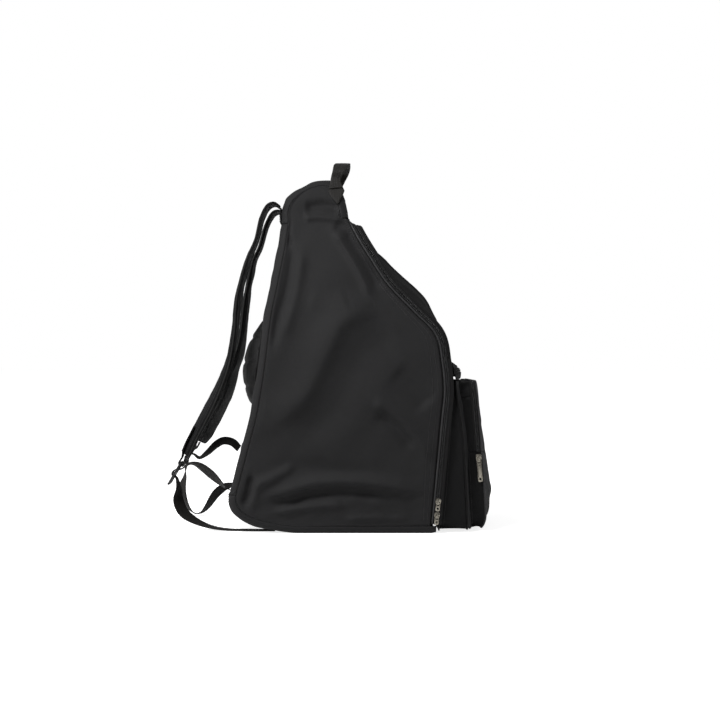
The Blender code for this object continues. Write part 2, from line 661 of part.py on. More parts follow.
outer, inner = [], []
for z in (0.170, 0.178, 0.190, 0.2065, 0.2255, 0.245, 0.262, 0.280, 0.295, 0.308):
    z *= KZ
    stand = max(over_height(LUMBAR, z), 0.0) + 0.0015
    w = 0.088 * min(1.0, 0.72 + 0.28 * math.sin(math.pi * (z / KZ - 0.165) / 0.148))
    row = []
    for u in (-1, -0.93, -0.8, -0.5, 0, 0.5, 0.8, 0.93, 1):
        row.append(Vector((w * u, behind(z, GAP + 0.0012 + stand * (1 - abs(u) ** 5)), z)))
    outer.append(row)
    inner.append([Vector((p[0], behind(z, GAP), z)) for p in row])
two_faces("lumbar_pad", outer, inner)

outer, inner = [], []
for z in (0.080, 0.12, 0.18, 0.24, 0.30, 0.34, 0.37, 0.39, 0.41, 0.43):
    w = half_width(z * KZ) - EDGE - 0.004
    y = back_y(z * KZ) - WALL * 1.06 - 0.0012
    outer.append([Vector((w * u, y, z * KZ)) for u in (-1, 0, 1)])
    inner.append([Vector((w * u, y - 0.0025, z * KZ)) for u in (-1, 0, 1)])
two_faces("back_board", outer, inner, "board")
board_half = half_width(0.0) - EDGE - 0.003
slab("base_board", (-board_half, -0.105 * KY, WALL + GAP),
     (board_half, 0.068 * KY, WALL + GAP + 0.0025), "board")


# ---------------------------------------------------------------- shoulder straps
STRAPS = {
    "left": (-1, [(0.1010, 0.4655), (0.1100, 0.4705), (0.1200, 0.4650), (0.1285, 0.4470),
                  (0.1350, 0.4180), (0.1485, 0.3830), (0.1612, 0.3320), (0.1662, 0.2800),
                  (0.1762, 0.2330), (0.1965, 0.1850), (0.2240, 0.1330), (0.2366, 0.1062)],
             (0.2411, 0.0963), (0.2598, 0.0646)),
    "right": (1, [(0.1010, 0.4655), (0.1100, 0.4705), (0.1200, 0.4655), (0.1295, 0.4470),
                  (0.1380, 0.4180), (0.1500, 0.3900), (0.1612, 0.3350), (0.1685, 0.2720),
                  (0.1800, 0.2330), (0.1965, 0.1830), (0.2225, 0.1340), (0.2360, 0.1160)],
              (0.2425, 0.1075), (0.2605, 0.0790))}
STRAP_TURN = math.radians(24)   # how far a pad has twisted by its lower end
LOCK_HALF = 0.0185
LOCK_X = 0.088


def strap_x(t):
    """Distance of a strap from the middle, from its top (0) to its lower end (1)."""
    return 0.055 + (LOCK_X - 0.055) * (3 * t**2 - 2 * t**3)


def lattice(name, us, vs, holes, thick, frame, kind, origin):
    """A plate made of the cells between these grid lines, without the cells in holes."""
    at, u, v, w = frame
    vertices = [at + u * a + v * b + w * c for c in (-thick / 2, thick / 2) for b in vs for a in us]
    n, layer = len(us), len(us) * len(vs)
    cells = {(i, j) for i in range(len(us) - 1) for j in range(len(vs) - 1)} - set(holes)
    faces = []
    for i, j in cells:
        a = j * n + i
        corners = [a, a + 1, a + n + 1, a + n]
        faces += [tuple(corners), tuple(c + layer for c in reversed(corners))]
        for k, beyond in enumerate(((i, j - 1), (i + 1, j), (i, j + 1), (i - 1, j))):
            if beyond not in cells:
                p, q = corners[k], corners[(k + 1) % 4]
                faces.append((p, q, q + layer, p + layer))
    return solid(name, vertices, faces, kind, origin, smooth=False)


for side, (sign, outline, lock_top, lock_foot) in STRAPS.items():
    run = spline(scaled(outline), 3)
    last = len(run) - 1
    path = [Vector((sign * strap_x(k / last), p[0], p[1])) for k, p in enumerate(run)]
    pivot = path[0].copy()
    widths = [STRAP_WIDTH * (0.72 + 0.28 * min(1.0, k / 6)) * (1 - 0.42 * max(0.0, (k / last - 0.82) / 0.18))
              for k in range(last + 1)]
    filled = [min(max((k / last - 0.38) / 0.27, 0.0), 1.0) for k in range(last + 1)]
    thicks = [STRAP_THICK * (0.45 + 0.55 * f) for f in filled]
    turns = [sign * STRAP_TURN * max(0.0, (k / last - 0.5) / 0.5) ** 1.5 for k in range(last + 1)]
    padded("strap_pad_" + side, path, widths, thicks, turns, origin=pivot)

    top = Vector((sign * LOCK_X, lock_top[0] * KY, lock_top[1] * KZ))
    foot = Vector((sign * LOCK_X, lock_foot[0] * KY, lock_foot[1] * KZ))
    down = (foot - top).normalized()
    middle = (top + foot) / 2
    out = X.cross(down).normalized()
    if out[1] < 0:
        out.negate()
    hinge = middle - down * (LOCK_HALF - 0.0016)
    edges = (-LOCK_HALF, -LOCK_HALF + 0.0032, -0.0016, 0.0016, LOCK_HALF - 0.0032, LOCK_HALF)
    lattice("ladder_lock_" + side, (-0.0145, -0.0114, 0.0114, 0.0145), edges, [(1, 1), (1, 3)], 0.0030,
            (middle, X, down, out), "plastic", hinge)

    along = (path[-1] - path[-2]).normalized()
    flat = X.cross(along).normalized()
    start = path[-1] + along * 3 * GAP
    e = (hinge - start).normalized()
    m = X.cross(e).normalized()
    loop = [start + flat * 0.0011, hinge - e * 0.008 + m * 0.0022]
    loop += [hinge + e * 0.0034 * math.cos(math.radians(d)) + m * 0.0034 * math.sin(math.radians(d))
             for d in (100, 60, 20, -20, -60, -100)]
    loop += [hinge - e * 0.008 - m * 0.0022, start - flat * 0.0011]
    ribbon("strap_end_" + side, loop, WEBBING, 0.0014, origin=pivot)

    anchor = [Vector((sign * 0.055, back_y(z * KZ) + GAP + 0.0011, z * KZ))
              for z in (0.444, 0.450, 0.456, 0.461)]
    ribbon("strap_anchor_" + side, anchor, 0.046, 0.0018)

    def at_lock(s, h):
        """A point s along the lock from its middle bar and h out of it, where the webbing isn't turned."""
        return Vector((*(middle + down * s + out * h), 0))

    def beside(y, z, x, turn):
        """A point of the webbing's run, and how far the webbing has turned about it in degrees."""
        return Vector((sign * x, y * KY, z * KZ, turn))

    def off_back(away, z, x):
        """Where the webbing leaves the bag."""
        return Vector((sign * x, back_y(z * KZ) + away, z * KZ, 0))

    if side == "left":
        route = [off_back(0.0041, 0.0590, 0.112), beside(0.1815, 0.0660, 0.109, 20),
                 beside(0.1960, 0.0780, 0.103, 38), beside(0.2130, 0.0895, 0.096, 34),
                 beside(0.2290, 0.0935, 0.090, 10), at_lock(-0.0110, -0.0055), at_lock(-0.0062, -0.0010),
                 at_lock(-0.0038, 0.0028), at_lock(0.0000, 0.0042), at_lock(0.0038, 0.0028),
                 at_lock(0.0050, -0.0010), at_lock(0.0058, -0.0055), beside(0.2458, 0.0580, 0.089, 14),
                 beside(0.2462, 0.0420, 0.091, 38), beside(0.2400, 0.0270, 0.095, 38),
                 beside(0.2270, 0.0160, 0.100, 24), beside(0.2000, 0.0052, 0.106, 6),
                 beside(0.1700, 0.0012, 0.110, 0), beside(0.1400, 0.0010, 0.113, 0),
                 beside(0.1050, 0.0010, 0.114, 0)]
    else:
        route = [off_back(0.0064, 0.0470, 0.112), beside(0.1860, 0.0460, 0.106, 20),
                 beside(0.1985, 0.0430, 0.100, 36), beside(0.2110, 0.0330, 0.094, 36),
                 beside(0.2230, 0.0150, 0.090, 22), beside(0.2330, 0.0050, 0.088, 8),
                 beside(0.2440, 0.0050, 0.087, 8), beside(0.2560, 0.0180, 0.087, 30),
                 beside(0.2625, 0.0400, 0.088, 42), beside(0.2580, 0.0610, 0.088, 18),
                 at_lock(0.0180, -0.0055), at_lock(0.0100, -0.0035), at_lock(0.0055, -0.0010),
                 at_lock(0.0038, 0.0028), at_lock(0.0000, 0.0042), at_lock(-0.0038, 0.0028),
                 at_lock(-0.0055, -0.0012), at_lock(-0.0065, -0.0060), beside(0.2350, 0.0905, 0.089, 8),
                 beside(0.2230, 0.0985, 0.092, 24), beside(0.2110, 0.1100, 0.095, 32),
                 beside(0.1990, 0.1165, 0.098, 32), beside(0.1850, 0.1140, 0.100, 30),
                 beside(0.1745, 0.1040, 0.102, 24)]
    turned = spline(route, 2)
    route = [Vector((p[0], p[1], max(p[2], 0.0010))) for p in turned]
    across = []
    for t, p in zip(tangents(route), turned):
        turn = math.radians(p[3])
        across.append(X * math.cos(turn) + t.cross(X).normalized() * math.sin(turn))
    ribbon("webbing_" + side, route, WEBBING, WEBBING_THICK, across)
    span = (0.0400, 0.0480, 0.0540) if side == "left" else (0.0320, 0.0380, 0.0440)
    patch = [Vector((sign * 0.112, back_y(z * KZ) + 2 * GAP + 0.0008, z * KZ)) for z in span]
    ribbon("corner_tab_" + side, patch, 0.026, 0.0012)

# ---------------------------------------------------------------- grab handle
for side, sign in (("left", -1), ("right", 1)):
    outer, inner = [], []
    for z, low, high in ((0.4700, 0.0160, 0.0185), (0.4780, 0.0120, 0.0250), (0.4880, 0.0072, 0.0312),
                         (0.4905, 0.0085, 0.0300)):
        x = half_width(z * KZ) + 2 * GAP
        outer.append([Vector((sign * (x + 0.0020), y * KY, z * KZ)) for y in (low, high)])
        inner.append([Vector((sign * x, y * KY, z * KZ)) for y in (low, high)])
    two_faces("handle_anchor_" + side, outer, inner, "webbing")

HANDLE_AXIS = Vector((0, 0.0195 * KY, 0.4935 * KZ))
half = [(0.0010, 0.0200, 0.4945), (0.0012, 0.0207, 0.5010), (0.0040, 0.0200, 0.5090),
        (0.0025, 0.0165, 0.5190), (-0.0080, 0.0130, 0.5275), (-0.0300, 0.0108, 0.5325)]
half = spline([Vector((-half_width(min(z, 0.508) * KZ) - 0.0022 - x, y * KY, z * KZ)) for x, y, z in half], 2)
handle = half + [Vector((0, 0.0105 * KY, 0.5335 * KZ))]
handle += [Vector((-p[0], p[1], p[2])) for p in reversed(half)]
spread = [0.020, 0.017, 0.015, 0.014, 0.014, 0.015, 0.017, 0.019, 0.021, 0.022, 0.022]
ribbon("handle_loop", handle, spread + [0.022] + spread[::-1], 0.0030, Vector((0, 1, 0)), origin=HANDLE_AXIS)


# ---------------------------------------------------------------- zip sliders and their pulls
def slider(label, at, along, out, length, pull_length, scale=1.0):
    """A slider riding on the zip at this point, with its pull hanging back along the zip."""
    out = (out - along * out.dot(along)).normalized()
    side = along.cross(out)
    mm = 0.001 * scale
    body_top = 0.0024 * scale
    right = [(3.2 * mm, -length / 2), (4.1 * mm, 0), (4.1 * mm, length * 0.36), (2.2 * mm, length / 2)]
    outline = right + [(-u, v) for u, v in reversed(right)]
    thick = body_top - 0.0004
    frame = (at + out * (0.0004 + thick / 2), side, along, out)
    obj = plate(label + "_slider", outline, thick, frame, "metal", at)
    arch = [at + along * a * mm + out * h * mm for a, h in
            ((-3.2, 1.4), (-3.2, 4.2), (-2.2, 5.2), (2.2, 5.2), (3.2, 4.2), (3.2, 1.4))]
    bridge = ribbon(label + "_bridge", arch, 2.0 * mm, 1.2 * mm, side, "metal")
    combine(obj, bridge, "UNION")

    pin = at - along * 1.6 * mm + out * 3.4 * mm
    w = 3.3 * mm
    end = -pull_length
    outline = [(-w, 0.6 * mm), (w, 0.6 * mm), (w, end + 2 * mm), (w * 0.6, end), (-w * 0.6, end),
               (-w, end + 2 * mm)]
    pull = plate(label + "_pull", outline, 1.2 * mm, (pin, side, along, out), "metal", pin)
    eye = slab(label + "_eye", (-2.0 * mm, -4.9 * mm, -1 * mm), (2.0 * mm, -0.6 * mm, 1 * mm), "metal")
    place = Matrix((side, along, out)).transposed().to_4x4()
    eye.matrix_world = Matrix.Translation(pin) @ place
    combine(pull, eye, "DIFFERENCE")
    hole = [(1.5 * mm * math.cos(a * math.tau / 12), end + 4.2 * mm + 1.5 * mm * math.sin(a * math.tau / 12))
            for a in range(12)]
    cut = plate(label + "_hole", hole, 3 * mm, (pin, side, along, out), "metal")
    combine(pull, cut, "DIFFERENCE")


def main_zip(z):
    t = Vector((0, zip_y(z + 0.001) - zip_y(z - 0.001), 0.002)).normalized()
    return Vector((-half_width(z), zip_y(z), z)) + Vector((0, -t[2], t[1])) * (HALF_ZIP + 0.0006)


def small_zip(z):
    return Vector((-small_half(z), small_edge_y(z) - HALF_ZIP, z))


along = (main_zip(0.15 * KZ) - main_zip(0.03 * KZ)).normalized()
for label, z in (("main_upper", 0.0455), ("main_lower", 0.0265)):
    slider(label, main_zip(z * KZ), along, Vector((-1, 0, 0)), 0.0088, 0.0118, 0.92)
along = (small_zip(0.18 * KZ) - small_zip(0.10 * KZ)).normalized()
slider("small_pocket", small_zip(0.104 * KZ), along, Vector((-1, 0, 0)), 0.0115, 0.0320)

# The large pocket's slider is parked near the right end of its zip.
PARKED, ZIP_MIDDLE = 0.60, 0.4725
flat = 1 - PARKED**6
low = Vector((LIP_LOW[0] - 0.012 * flat, LIP_LOW[1] + 0.003 * flat))
high = Vector((LIP_HIGH[0] - 0.002 * flat, LIP_HIGH[1] + 0.002 * flat))
p = low + (high - low) * ZIP_MIDDLE + Vector((-0.0035, 0.0015)) * math.sin(math.pi * ZIP_MIDDLE) * flat
slope = (high - low).normalized()
out = Vector((0, -slope[1], slope[0]))
slider("large_pocket", Vector((large_half(p[1]) * PARKED, p[0], p[1])) + out * 0.0008, X, out,
       0.0100, 0.0220, 0.95)
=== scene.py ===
# %% [markdown]
# # A skate bag, sewn in Blender
# This lesson dresses a finished frame. The frame comes from the CAD source: forty-eight separate pieces,
# each in its place, with the joints that let the front fold, the sliders run and the straps hang. Here
# every fabric piece gets its cloth, its stitching and its folds, in the same metres and the same place.

# %% Load the frame and keep its box
import math

import bmesh
import bpy
import numpy as np
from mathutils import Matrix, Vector


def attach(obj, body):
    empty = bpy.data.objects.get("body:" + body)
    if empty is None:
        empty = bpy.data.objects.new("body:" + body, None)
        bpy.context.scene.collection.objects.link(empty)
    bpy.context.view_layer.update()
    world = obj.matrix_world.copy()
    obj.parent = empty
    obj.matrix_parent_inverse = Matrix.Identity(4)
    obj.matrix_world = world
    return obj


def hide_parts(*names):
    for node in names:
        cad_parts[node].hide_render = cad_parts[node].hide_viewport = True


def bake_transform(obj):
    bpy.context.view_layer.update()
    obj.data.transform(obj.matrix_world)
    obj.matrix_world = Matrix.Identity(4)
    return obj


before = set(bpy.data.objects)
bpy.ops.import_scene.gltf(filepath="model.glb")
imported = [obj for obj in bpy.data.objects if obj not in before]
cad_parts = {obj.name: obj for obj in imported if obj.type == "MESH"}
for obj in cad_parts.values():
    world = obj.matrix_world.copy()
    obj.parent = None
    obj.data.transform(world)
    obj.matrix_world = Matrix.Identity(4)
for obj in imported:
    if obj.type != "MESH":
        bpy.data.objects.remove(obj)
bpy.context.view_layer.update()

# %% [markdown]
# ## The camera and the room
# The bag is seen squarely from its left side, from a little over two metres. A camera that far away keeps
# the near and the far strap almost in line. The room is a pale floor that runs to the horizon, a large
# soft light high on the camera's side, a second one over the back and a weak one from the front, so that
# black cloth still shows its folds.

# %% Camera
EYE = Vector((-2.2, -0.015, 0.243))
lens = bpy.data.cameras.new("eye")
lens.sensor_width = 36.0
lens.lens = 36.0 * 2.2 / 1.08
eye = bpy.data.objects.new("eye", lens)
eye.location = EYE
eye.rotation_euler = (math.radians(90), 0, math.radians(-90))
bpy.context.scene.collection.objects.link(eye)
bpy.context.scene.camera = eye

# %% Floor, sky and lights
bpy.context.scene.view_settings.view_transform = "Standard"
world = bpy.data.worlds.new("pale room")
bpy.context.scene.world = world
world.use_nodes = True
sky = world.node_tree.nodes["Background"]
seen_directly = world.node_tree.nodes.new("ShaderNodeLightPath").outputs["Is Camera Ray"]
strength = world.node_tree.nodes.new("ShaderNodeMapRange")
strength.inputs["To Min"].default_value = 0.22   # what the sky gives the bag
strength.inputs["To Max"].default_value = 1.0    # what the eye sees of it
world.node_tree.links.new(seen_directly, strength.inputs["Value"])
world.node_tree.links.new(strength.outputs["Result"], sky.inputs["Strength"])
sky.inputs["Color"].default_value = (1.0, 1.0, 1.0, 1)


def pale_floor():
    mesh = bpy.data.meshes.new("floor")
    mesh.from_pydata([(-30, -30, 0), (30, -30, 0), (30, 30, 0), (-30, 30, 0)], [], [(0, 1, 2, 3)])
    paint = bpy.data.materials.new("floor paint")
    paint.use_nodes = True
    shader = paint.node_tree.nodes["Principled BSDF"]
    shader.inputs["Base Color"].default_value = (0.93, 0.93, 0.93, 1)
    shader.inputs["Emission Color"].default_value = (1.0, 1.0, 1.0, 1)
    seen = paint.node_tree.nodes.new("ShaderNodeLightPath").outputs["Is Camera Ray"]
    glow = paint.node_tree.nodes.new("ShaderNodeMath")
    glow.operation = "MULTIPLY"
    glow.inputs[1].default_value = 0.80
    paint.node_tree.links.new(seen, glow.inputs[0])
    paint.node_tree.links.new(glow.outputs[0], shader.inputs["Emission Strength"])
    shader.inputs["Roughness"].default_value = 0.9
    shader.inputs["Specular IOR Level"].default_value = 0.1
    mesh.materials.append(paint)
    floor = bpy.data.objects.new("floor", mesh)
    bpy.context.scene.collection.objects.link(floor)


def soft_light(name, place, target, size, watts):
    data = bpy.data.lights.new(name, "AREA")
    data.shape = "SQUARE"
    data.size = size
    data.energy = watts
    light = bpy.data.objects.new(name, data)
    light.location = place
    light.rotation_euler = (Vector(target) - Vector(place)).to_track_quat("-Z", "Y").to_euler()
    bpy.context.scene.collection.objects.link(light)


pale_floor()
soft_light("key", (-1.3, 1.0, 2.2), (0, 0, 0.3), 0.8, 62)
soft_light("back", (-0.5, 2.3, 1.0), (0, 0, 0.25), 0.9, 22)
soft_light("front", (-0.8, -2.2, 0.8), (0, 0, 0.2), 0.9, 7)
print("camera at", tuple(EYE), "lens", round(lens.lens, 1), "mm")

# %% [markdown]
# ## Sizes and outlines
# The frame was drawn from a handful of outlines seen from the side. The same few points are repeated
# here, so that fine cloth can be laid exactly over the coarse CAD panels. `smooth_run` draws a curve
# through points and `at_height` reads an outline at any height.

# %% Sizes and outlines, metres
HEIGHT, BASE_WIDTH, TOP_WIDTH = 0.508, 0.300, 0.176
GAP, EDGE = 0.0003, 0.010
WEBBING, ZIP_WIDTH, HALF_ZIP = 0.020, 0.010, 0.005
POCKET_MARGIN, SMALL_MARGIN = 0.009, 0.026
FOLD_Z, POCKET_FOLD_Z = 0.2445, 0.1125
LARGE_TOP, SMALL_TOP, FLOOR_GAP = 0.2120, 0.2130, 0.0040
LARGE_CORNER, SMALL_CORNER = 0.018, 0.022
CAP_FRONT = 0.449

WRAP = [(-0.1225, 0.0), (-0.050, 0.0), (0.020, 0.0), (0.075, 0.0), (0.118, 0.006), (0.150, 0.017),
        (0.166, 0.034), (0.1690, 0.053), (0.163, 0.078), (0.153, 0.117), (0.139, 0.172),
        (0.129, 0.235), (0.121, 0.304), (0.1115, 0.355), (0.1025, 0.405), (0.0985, 0.440),
        (0.0990, 0.458), (0.093, 0.476), (0.078, 0.4925), (0.056, 0.5045), (0.034, 0.508),
        (0.0185, 0.500), (0.009, 0.483), (0.0045, 0.463), (0.002, 0.449)]
BACK_SEAM, CAP_SEAM = 7, 15
ZIP_EDGE = [(-0.1145, 0.0), (-0.1222, 0.080), (-0.1299, 0.160), (-0.1337, 0.200), (-0.1305, 0.240),
            (-0.1210, 0.280), (-0.0900, 0.313), (-0.0550, 0.350), (-0.0300, 0.388),
            (-0.0110, 0.420), (0.0030, 0.449)]
FRONT_MIDDLE = [(-0.1430, 0.236), (-0.1434, 0.2445), (-0.1405, 0.262), (-0.1330, 0.280),
                (-0.1225, 0.306), (-0.1098, 0.332), (-0.0704, 0.367), (-0.0369, 0.402),
                (-0.0150, 0.434), (-0.0050, 0.449)]
LARGE_EDGE = [(-0.1675, 0.0), (-0.1604, 0.130), (-0.1500, 0.213), (-0.1495, 0.230)]
SMALL_EDGE = [(-0.1845, 0.0), (-0.1785, 0.100), (-0.1720, 0.190), (-0.1690, 0.225)]
SMALL_MIDDLE = [(-0.1900, 0.000), (-0.2000, 0.014), (-0.2052, 0.028), (-0.2065, 0.045), (-0.2050, 0.077),
                (-0.2000, 0.110), (-0.1930, 0.147), (-0.1860, 0.185), (-0.1815, 0.225)]
TAPER = [(1.0, 0.0), (0.968, 0.080), (0.936, 0.160), (0.912, 0.210), (0.80, 0.280), (0.55, 0.350),
         (0.23, 0.410), (-0.02, 0.449), (-0.26, 0.478), (-0.46, 0.498), (-0.58, 0.508)]


def smooth_run(points, steps):
    """Points along a smooth curve through the given ones, each stretch cut in this many steps."""
    p = np.array(points, float)
    m = np.vstack([p[1:2] - p[:1], (p[2:] - p[:-2]) / 2, p[-1:] - p[-2:-1]])
    t = (np.arange(steps) / steps)[None, :, None]
    a, b, ma, mb = p[:-1, None], p[1:, None], m[:-1, None], m[1:, None]
    run = (a * (2 * t**3 - 3 * t**2 + 1) + ma * (t**3 - 2 * t**2 + t)
           + b * (3 * t**2 - 2 * t**3) + mb * (t**3 - t**2))
    return np.vstack([run.reshape(-1, p.shape[1]), p[-1:]])


def at_height(outline, z):
    """The outline's first number at these heights."""
    y, h = np.array(outline, float).T
    step = np.diff(y) / np.diff(h)
    slope = np.concatenate([step[:1], (step[1:] + step[:-1]) / 2, step[-1:]])
    z = np.asarray(z, float)
    i = np.clip(np.searchsorted(h, z, "right") - 1, 0, len(h) - 2)
    d = h[i + 1] - h[i]
    t = np.clip((z - h[i]) / d, 0, 1)
    value = ((2 * t**3 - 3 * t**2 + 1) * y[i] + (t**3 - 2 * t**2 + t) * d * slope[i]
             + (3 * t**2 - 2 * t**3) * y[i + 1] + (t**3 - t**2) * d * slope[i + 1])
    return value + step[0] * np.minimum(z - h[0], 0) + step[-1] * np.maximum(z - h[-1], 0)


def half_width(z):
    return (TOP_WIDTH + (BASE_WIDTH - TOP_WIDTH) * at_height(TAPER, z)) / 2


def resampled(line, count):
    """The same line with this many points, evenly spaced along it."""
    line = np.array(line, float)
    along = np.concatenate([[0], np.cumsum(np.linalg.norm(np.diff(line, axis=0), axis=1))])
    wanted = np.linspace(0, along[-1], count)
    return np.array([np.interp(wanted, along, line[:, k]) for k in range(line.shape[1])]).T


def length_of(line):
    return float(np.linalg.norm(np.diff(np.array(line), axis=0), axis=1).sum())


print("bag", HEIGHT, "high, base", BASE_WIDTH, "wide")

# %% [markdown]
# ## Finishes
# Every finish is a node tree of its own. Black nylon is never one flat black: a plain weave of fine
# threads catches the light, long soft patches are a little paler where the cloth has been handled, and a
# faint sheen lifts the edges that turn away. The weave reads Object coordinates, in metres, so a thread
# is the same size on every panel. Webbing and zip tape read the strip's own UV map instead, because their
# ribs follow the strip wherever it bends.

# %% Small helpers for node trees
def finish_tree(name):
    """A new finish and its tree and shader."""
    finish = bpy.data.materials.new(name)
    finish.use_nodes = True
    tree = finish.node_tree
    return finish, tree, tree.nodes["Principled BSDF"]


def put(tree, kind, settings=None, **values):
    """Adds a node. settings are its own properties; values go in its sockets by name or number."""
    node = tree.nodes.new(kind)
    for key, value in (settings or {}).items():
        setattr(node, key, value)
    for key, value in values.items():
        socket = node.inputs[int(key[1:])] if key[1:].isdigit() else node.inputs[key.replace("_", " ")]
        if isinstance(value, bpy.types.NodeSocket):
            tree.links.new(value, socket)
        else:
            socket.default_value = value
    return node


def maths(tree, operation, a, b=0.0, c=0.0):
    node = put(tree, "ShaderNodeMath", {"operation": operation}, s0=a, s1=b)
    if operation == "MULTIPLY_ADD":
        if isinstance(c, bpy.types.NodeSocket):
            tree.links.new(c, node.inputs[2])
        else:
            node.inputs[2].default_value = c
    return node.outputs[0]


def between(tree, factor, low, high):
    """Mixes two plain values or two colours by a factor."""
    if isinstance(low, tuple):
        node = put(tree, "ShaderNodeMix", {"data_type": "RGBA"}, s0=factor, s6=(*low, 1), s7=(*high, 1))
        return node.outputs[2]
    return put(tree, "ShaderNodeMapRange", s0=factor, s3=low, s4=high).outputs[0]


def threads(tree, coordinate, axis, pitch):
    """A wave with one crest every pitch metres along an axis."""
    wave = put(tree, "ShaderNodeTexWave", {"wave_type": "BANDS", "bands_direction": axis},
               Vector=coordinate, Scale=math.tau / 20 / pitch)
    return wave.outputs[1]


# %% Nylon cloth
def nylon_cloth(name, dark, pale, rough, sheen, weave=0.0006, creases=0.0006, shine=0.26):
    """Plain-woven nylon. dark and pale are the two tones it wanders between."""
    finish, tree, shader = finish_tree(name)
    place = put(tree, "ShaderNodeTexCoord").outputs["Object"]
    split = put(tree, "ShaderNodeSeparateXYZ", Vector=place)
    across = maths(tree, "ADD", split.outputs[0], split.outputs[1])
    flat = put(tree, "ShaderNodeCombineXYZ", X=across, Y=split.outputs[2]).outputs[0]
    warp = threads(tree, flat, "X", weave)
    weft = threads(tree, flat, "Y", weave * 1.15)
    cloth = maths(tree, "MULTIPLY", warp, weft)
    worn = put(tree, "ShaderNodeTexNoise", Vector=place, Scale=5.5, Detail=4.0, Roughness=0.55).outputs[0]
    fine = put(tree, "ShaderNodeTexNoise", Vector=place, Scale=900.0, Detail=2.0).outputs[0]
    tone = maths(tree, "MULTIPLY_ADD", cloth, 0.30, maths(tree, "MULTIPLY", worn, 0.9))
    tone = maths(tree, "MULTIPLY_ADD", fine, 0.25, tone)
    tree.links.new(between(tree, tone, dark, pale), shader.inputs["Base Color"])
    tree.links.new(between(tree, worn, rough - 0.07, rough + 0.09), shader.inputs["Roughness"])
    pucker = put(tree, "ShaderNodeTexNoise", Vector=place, Scale=38.0, Detail=3.0, Roughness=0.6).outputs[0]
    soft = put(tree, "ShaderNodeBump", Strength=0.55, Distance=creases, Height=pucker)
    woven = put(tree, "ShaderNodeBump", Strength=0.35, Distance=0.00012, Height=cloth, Normal=soft.outputs[0])
    tree.links.new(woven.outputs[0], shader.inputs["Normal"])
    shader.inputs["Specular IOR Level"].default_value = shine
    shader.inputs["Sheen Weight"].default_value = sheen
    shader.inputs["Sheen Roughness"].default_value = 0.42
    return finish


# %% Spacer mesh, woven tape and sewing thread
def spacer_mesh(name, tone):
    """Open knitted mesh over foam: small dark holes in a paler net."""
    finish, tree, shader = finish_tree(name)
    place = put(tree, "ShaderNodeTexCoord").outputs["Object"]
    cells = put(tree, "ShaderNodeTexVoronoi", {"feature": "F1"}, Vector=place, Scale=360.0,
                Randomness=0.18).outputs[0]
    net = maths(tree, "MINIMUM", cells, 0.62)
    worn = put(tree, "ShaderNodeTexNoise", Vector=place, Scale=11.0, Detail=3.0).outputs[0]
    hole = between(tree, maths(tree, "MULTIPLY_ADD", worn, 0.35, maths(tree, "MULTIPLY", net, 1.3)),
                   tuple(tone * k for k in (0.25, 0.25, 0.26)), tuple(tone * k for k in (1.25, 1.25, 1.3)))
    tree.links.new(hole, shader.inputs["Base Color"])
    tree.links.new(between(tree, worn, 0.72, 0.90), shader.inputs["Roughness"])
    raised = put(tree, "ShaderNodeBump", Strength=0.8, Distance=0.0005, Height=net)
    tree.links.new(raised.outputs[0], shader.inputs["Normal"])
    shader.inputs["Sheen Weight"].default_value = 0.08
    shader.inputs["Sheen Roughness"].default_value = 0.5
    return finish


def woven_tape(name, tone, rib, slant=0.9):
    """Webbing or zip tape. Its UV map runs in metres: U along the strip, V across it from the middle."""
    finish, tree, shader = finish_tree(name)
    strip = put(tree, "ShaderNodeTexCoord").outputs["UV"]
    split = put(tree, "ShaderNodeSeparateXYZ", Vector=strip)
    off = maths(tree, "ABSOLUTE", split.outputs[1])
    slanted = maths(tree, "MULTIPLY_ADD", off, slant, split.outputs[0])
    ribs = maths(tree, "SINE", maths(tree, "MULTIPLY", slanted, math.tau / rib))
    cords = maths(tree, "SINE", maths(tree, "MULTIPLY", split.outputs[1], math.tau / (rib * 1.3)))
    weave = maths(tree, "MULTIPLY_ADD", cords, 0.45, ribs)
    height = maths(tree, "MULTIPLY_ADD", weave, 0.30, 0.5)
    worn = put(tree, "ShaderNodeTexNoise", Vector=put(tree, "ShaderNodeTexCoord").outputs["Object"],
               Scale=24.0, Detail=4.0).outputs[0]
    mixed = maths(tree, "MULTIPLY_ADD", worn, 0.7, maths(tree, "MULTIPLY", height, 0.5))
    dark, pale = tuple(t * 0.55 for t in tone), tuple(t * 1.5 for t in tone)
    tree.links.new(between(tree, mixed, dark, pale), shader.inputs["Base Color"])
    tree.links.new(between(tree, worn, 0.54, 0.72), shader.inputs["Roughness"])
    raised = put(tree, "ShaderNodeBump", Strength=0.7, Distance=0.00025, Height=height)
    tree.links.new(raised.outputs[0], shader.inputs["Normal"])
    shader.inputs["Specular IOR Level"].default_value = 0.18
    shader.inputs["Sheen Weight"].default_value = 0.04
    shader.inputs["Sheen Roughness"].default_value = 0.4
    return finish


def sewing_thread(name, tone):
    finish, tree, shader = finish_tree(name)
    place = put(tree, "ShaderNodeTexCoord").outputs["Object"]
    fluff = put(tree, "ShaderNodeTexNoise", Vector=place, Scale=2600.0, Detail=1.0).outputs[0]
    tree.links.new(between(tree, fluff, tuple(t * 0.6 for t in tone), tuple(t * 1.4 for t in tone)),
                   shader.inputs["Base Color"])
    tree.links.new(between(tree, fluff, 0.40, 0.62), shader.inputs["Roughness"])
    return finish


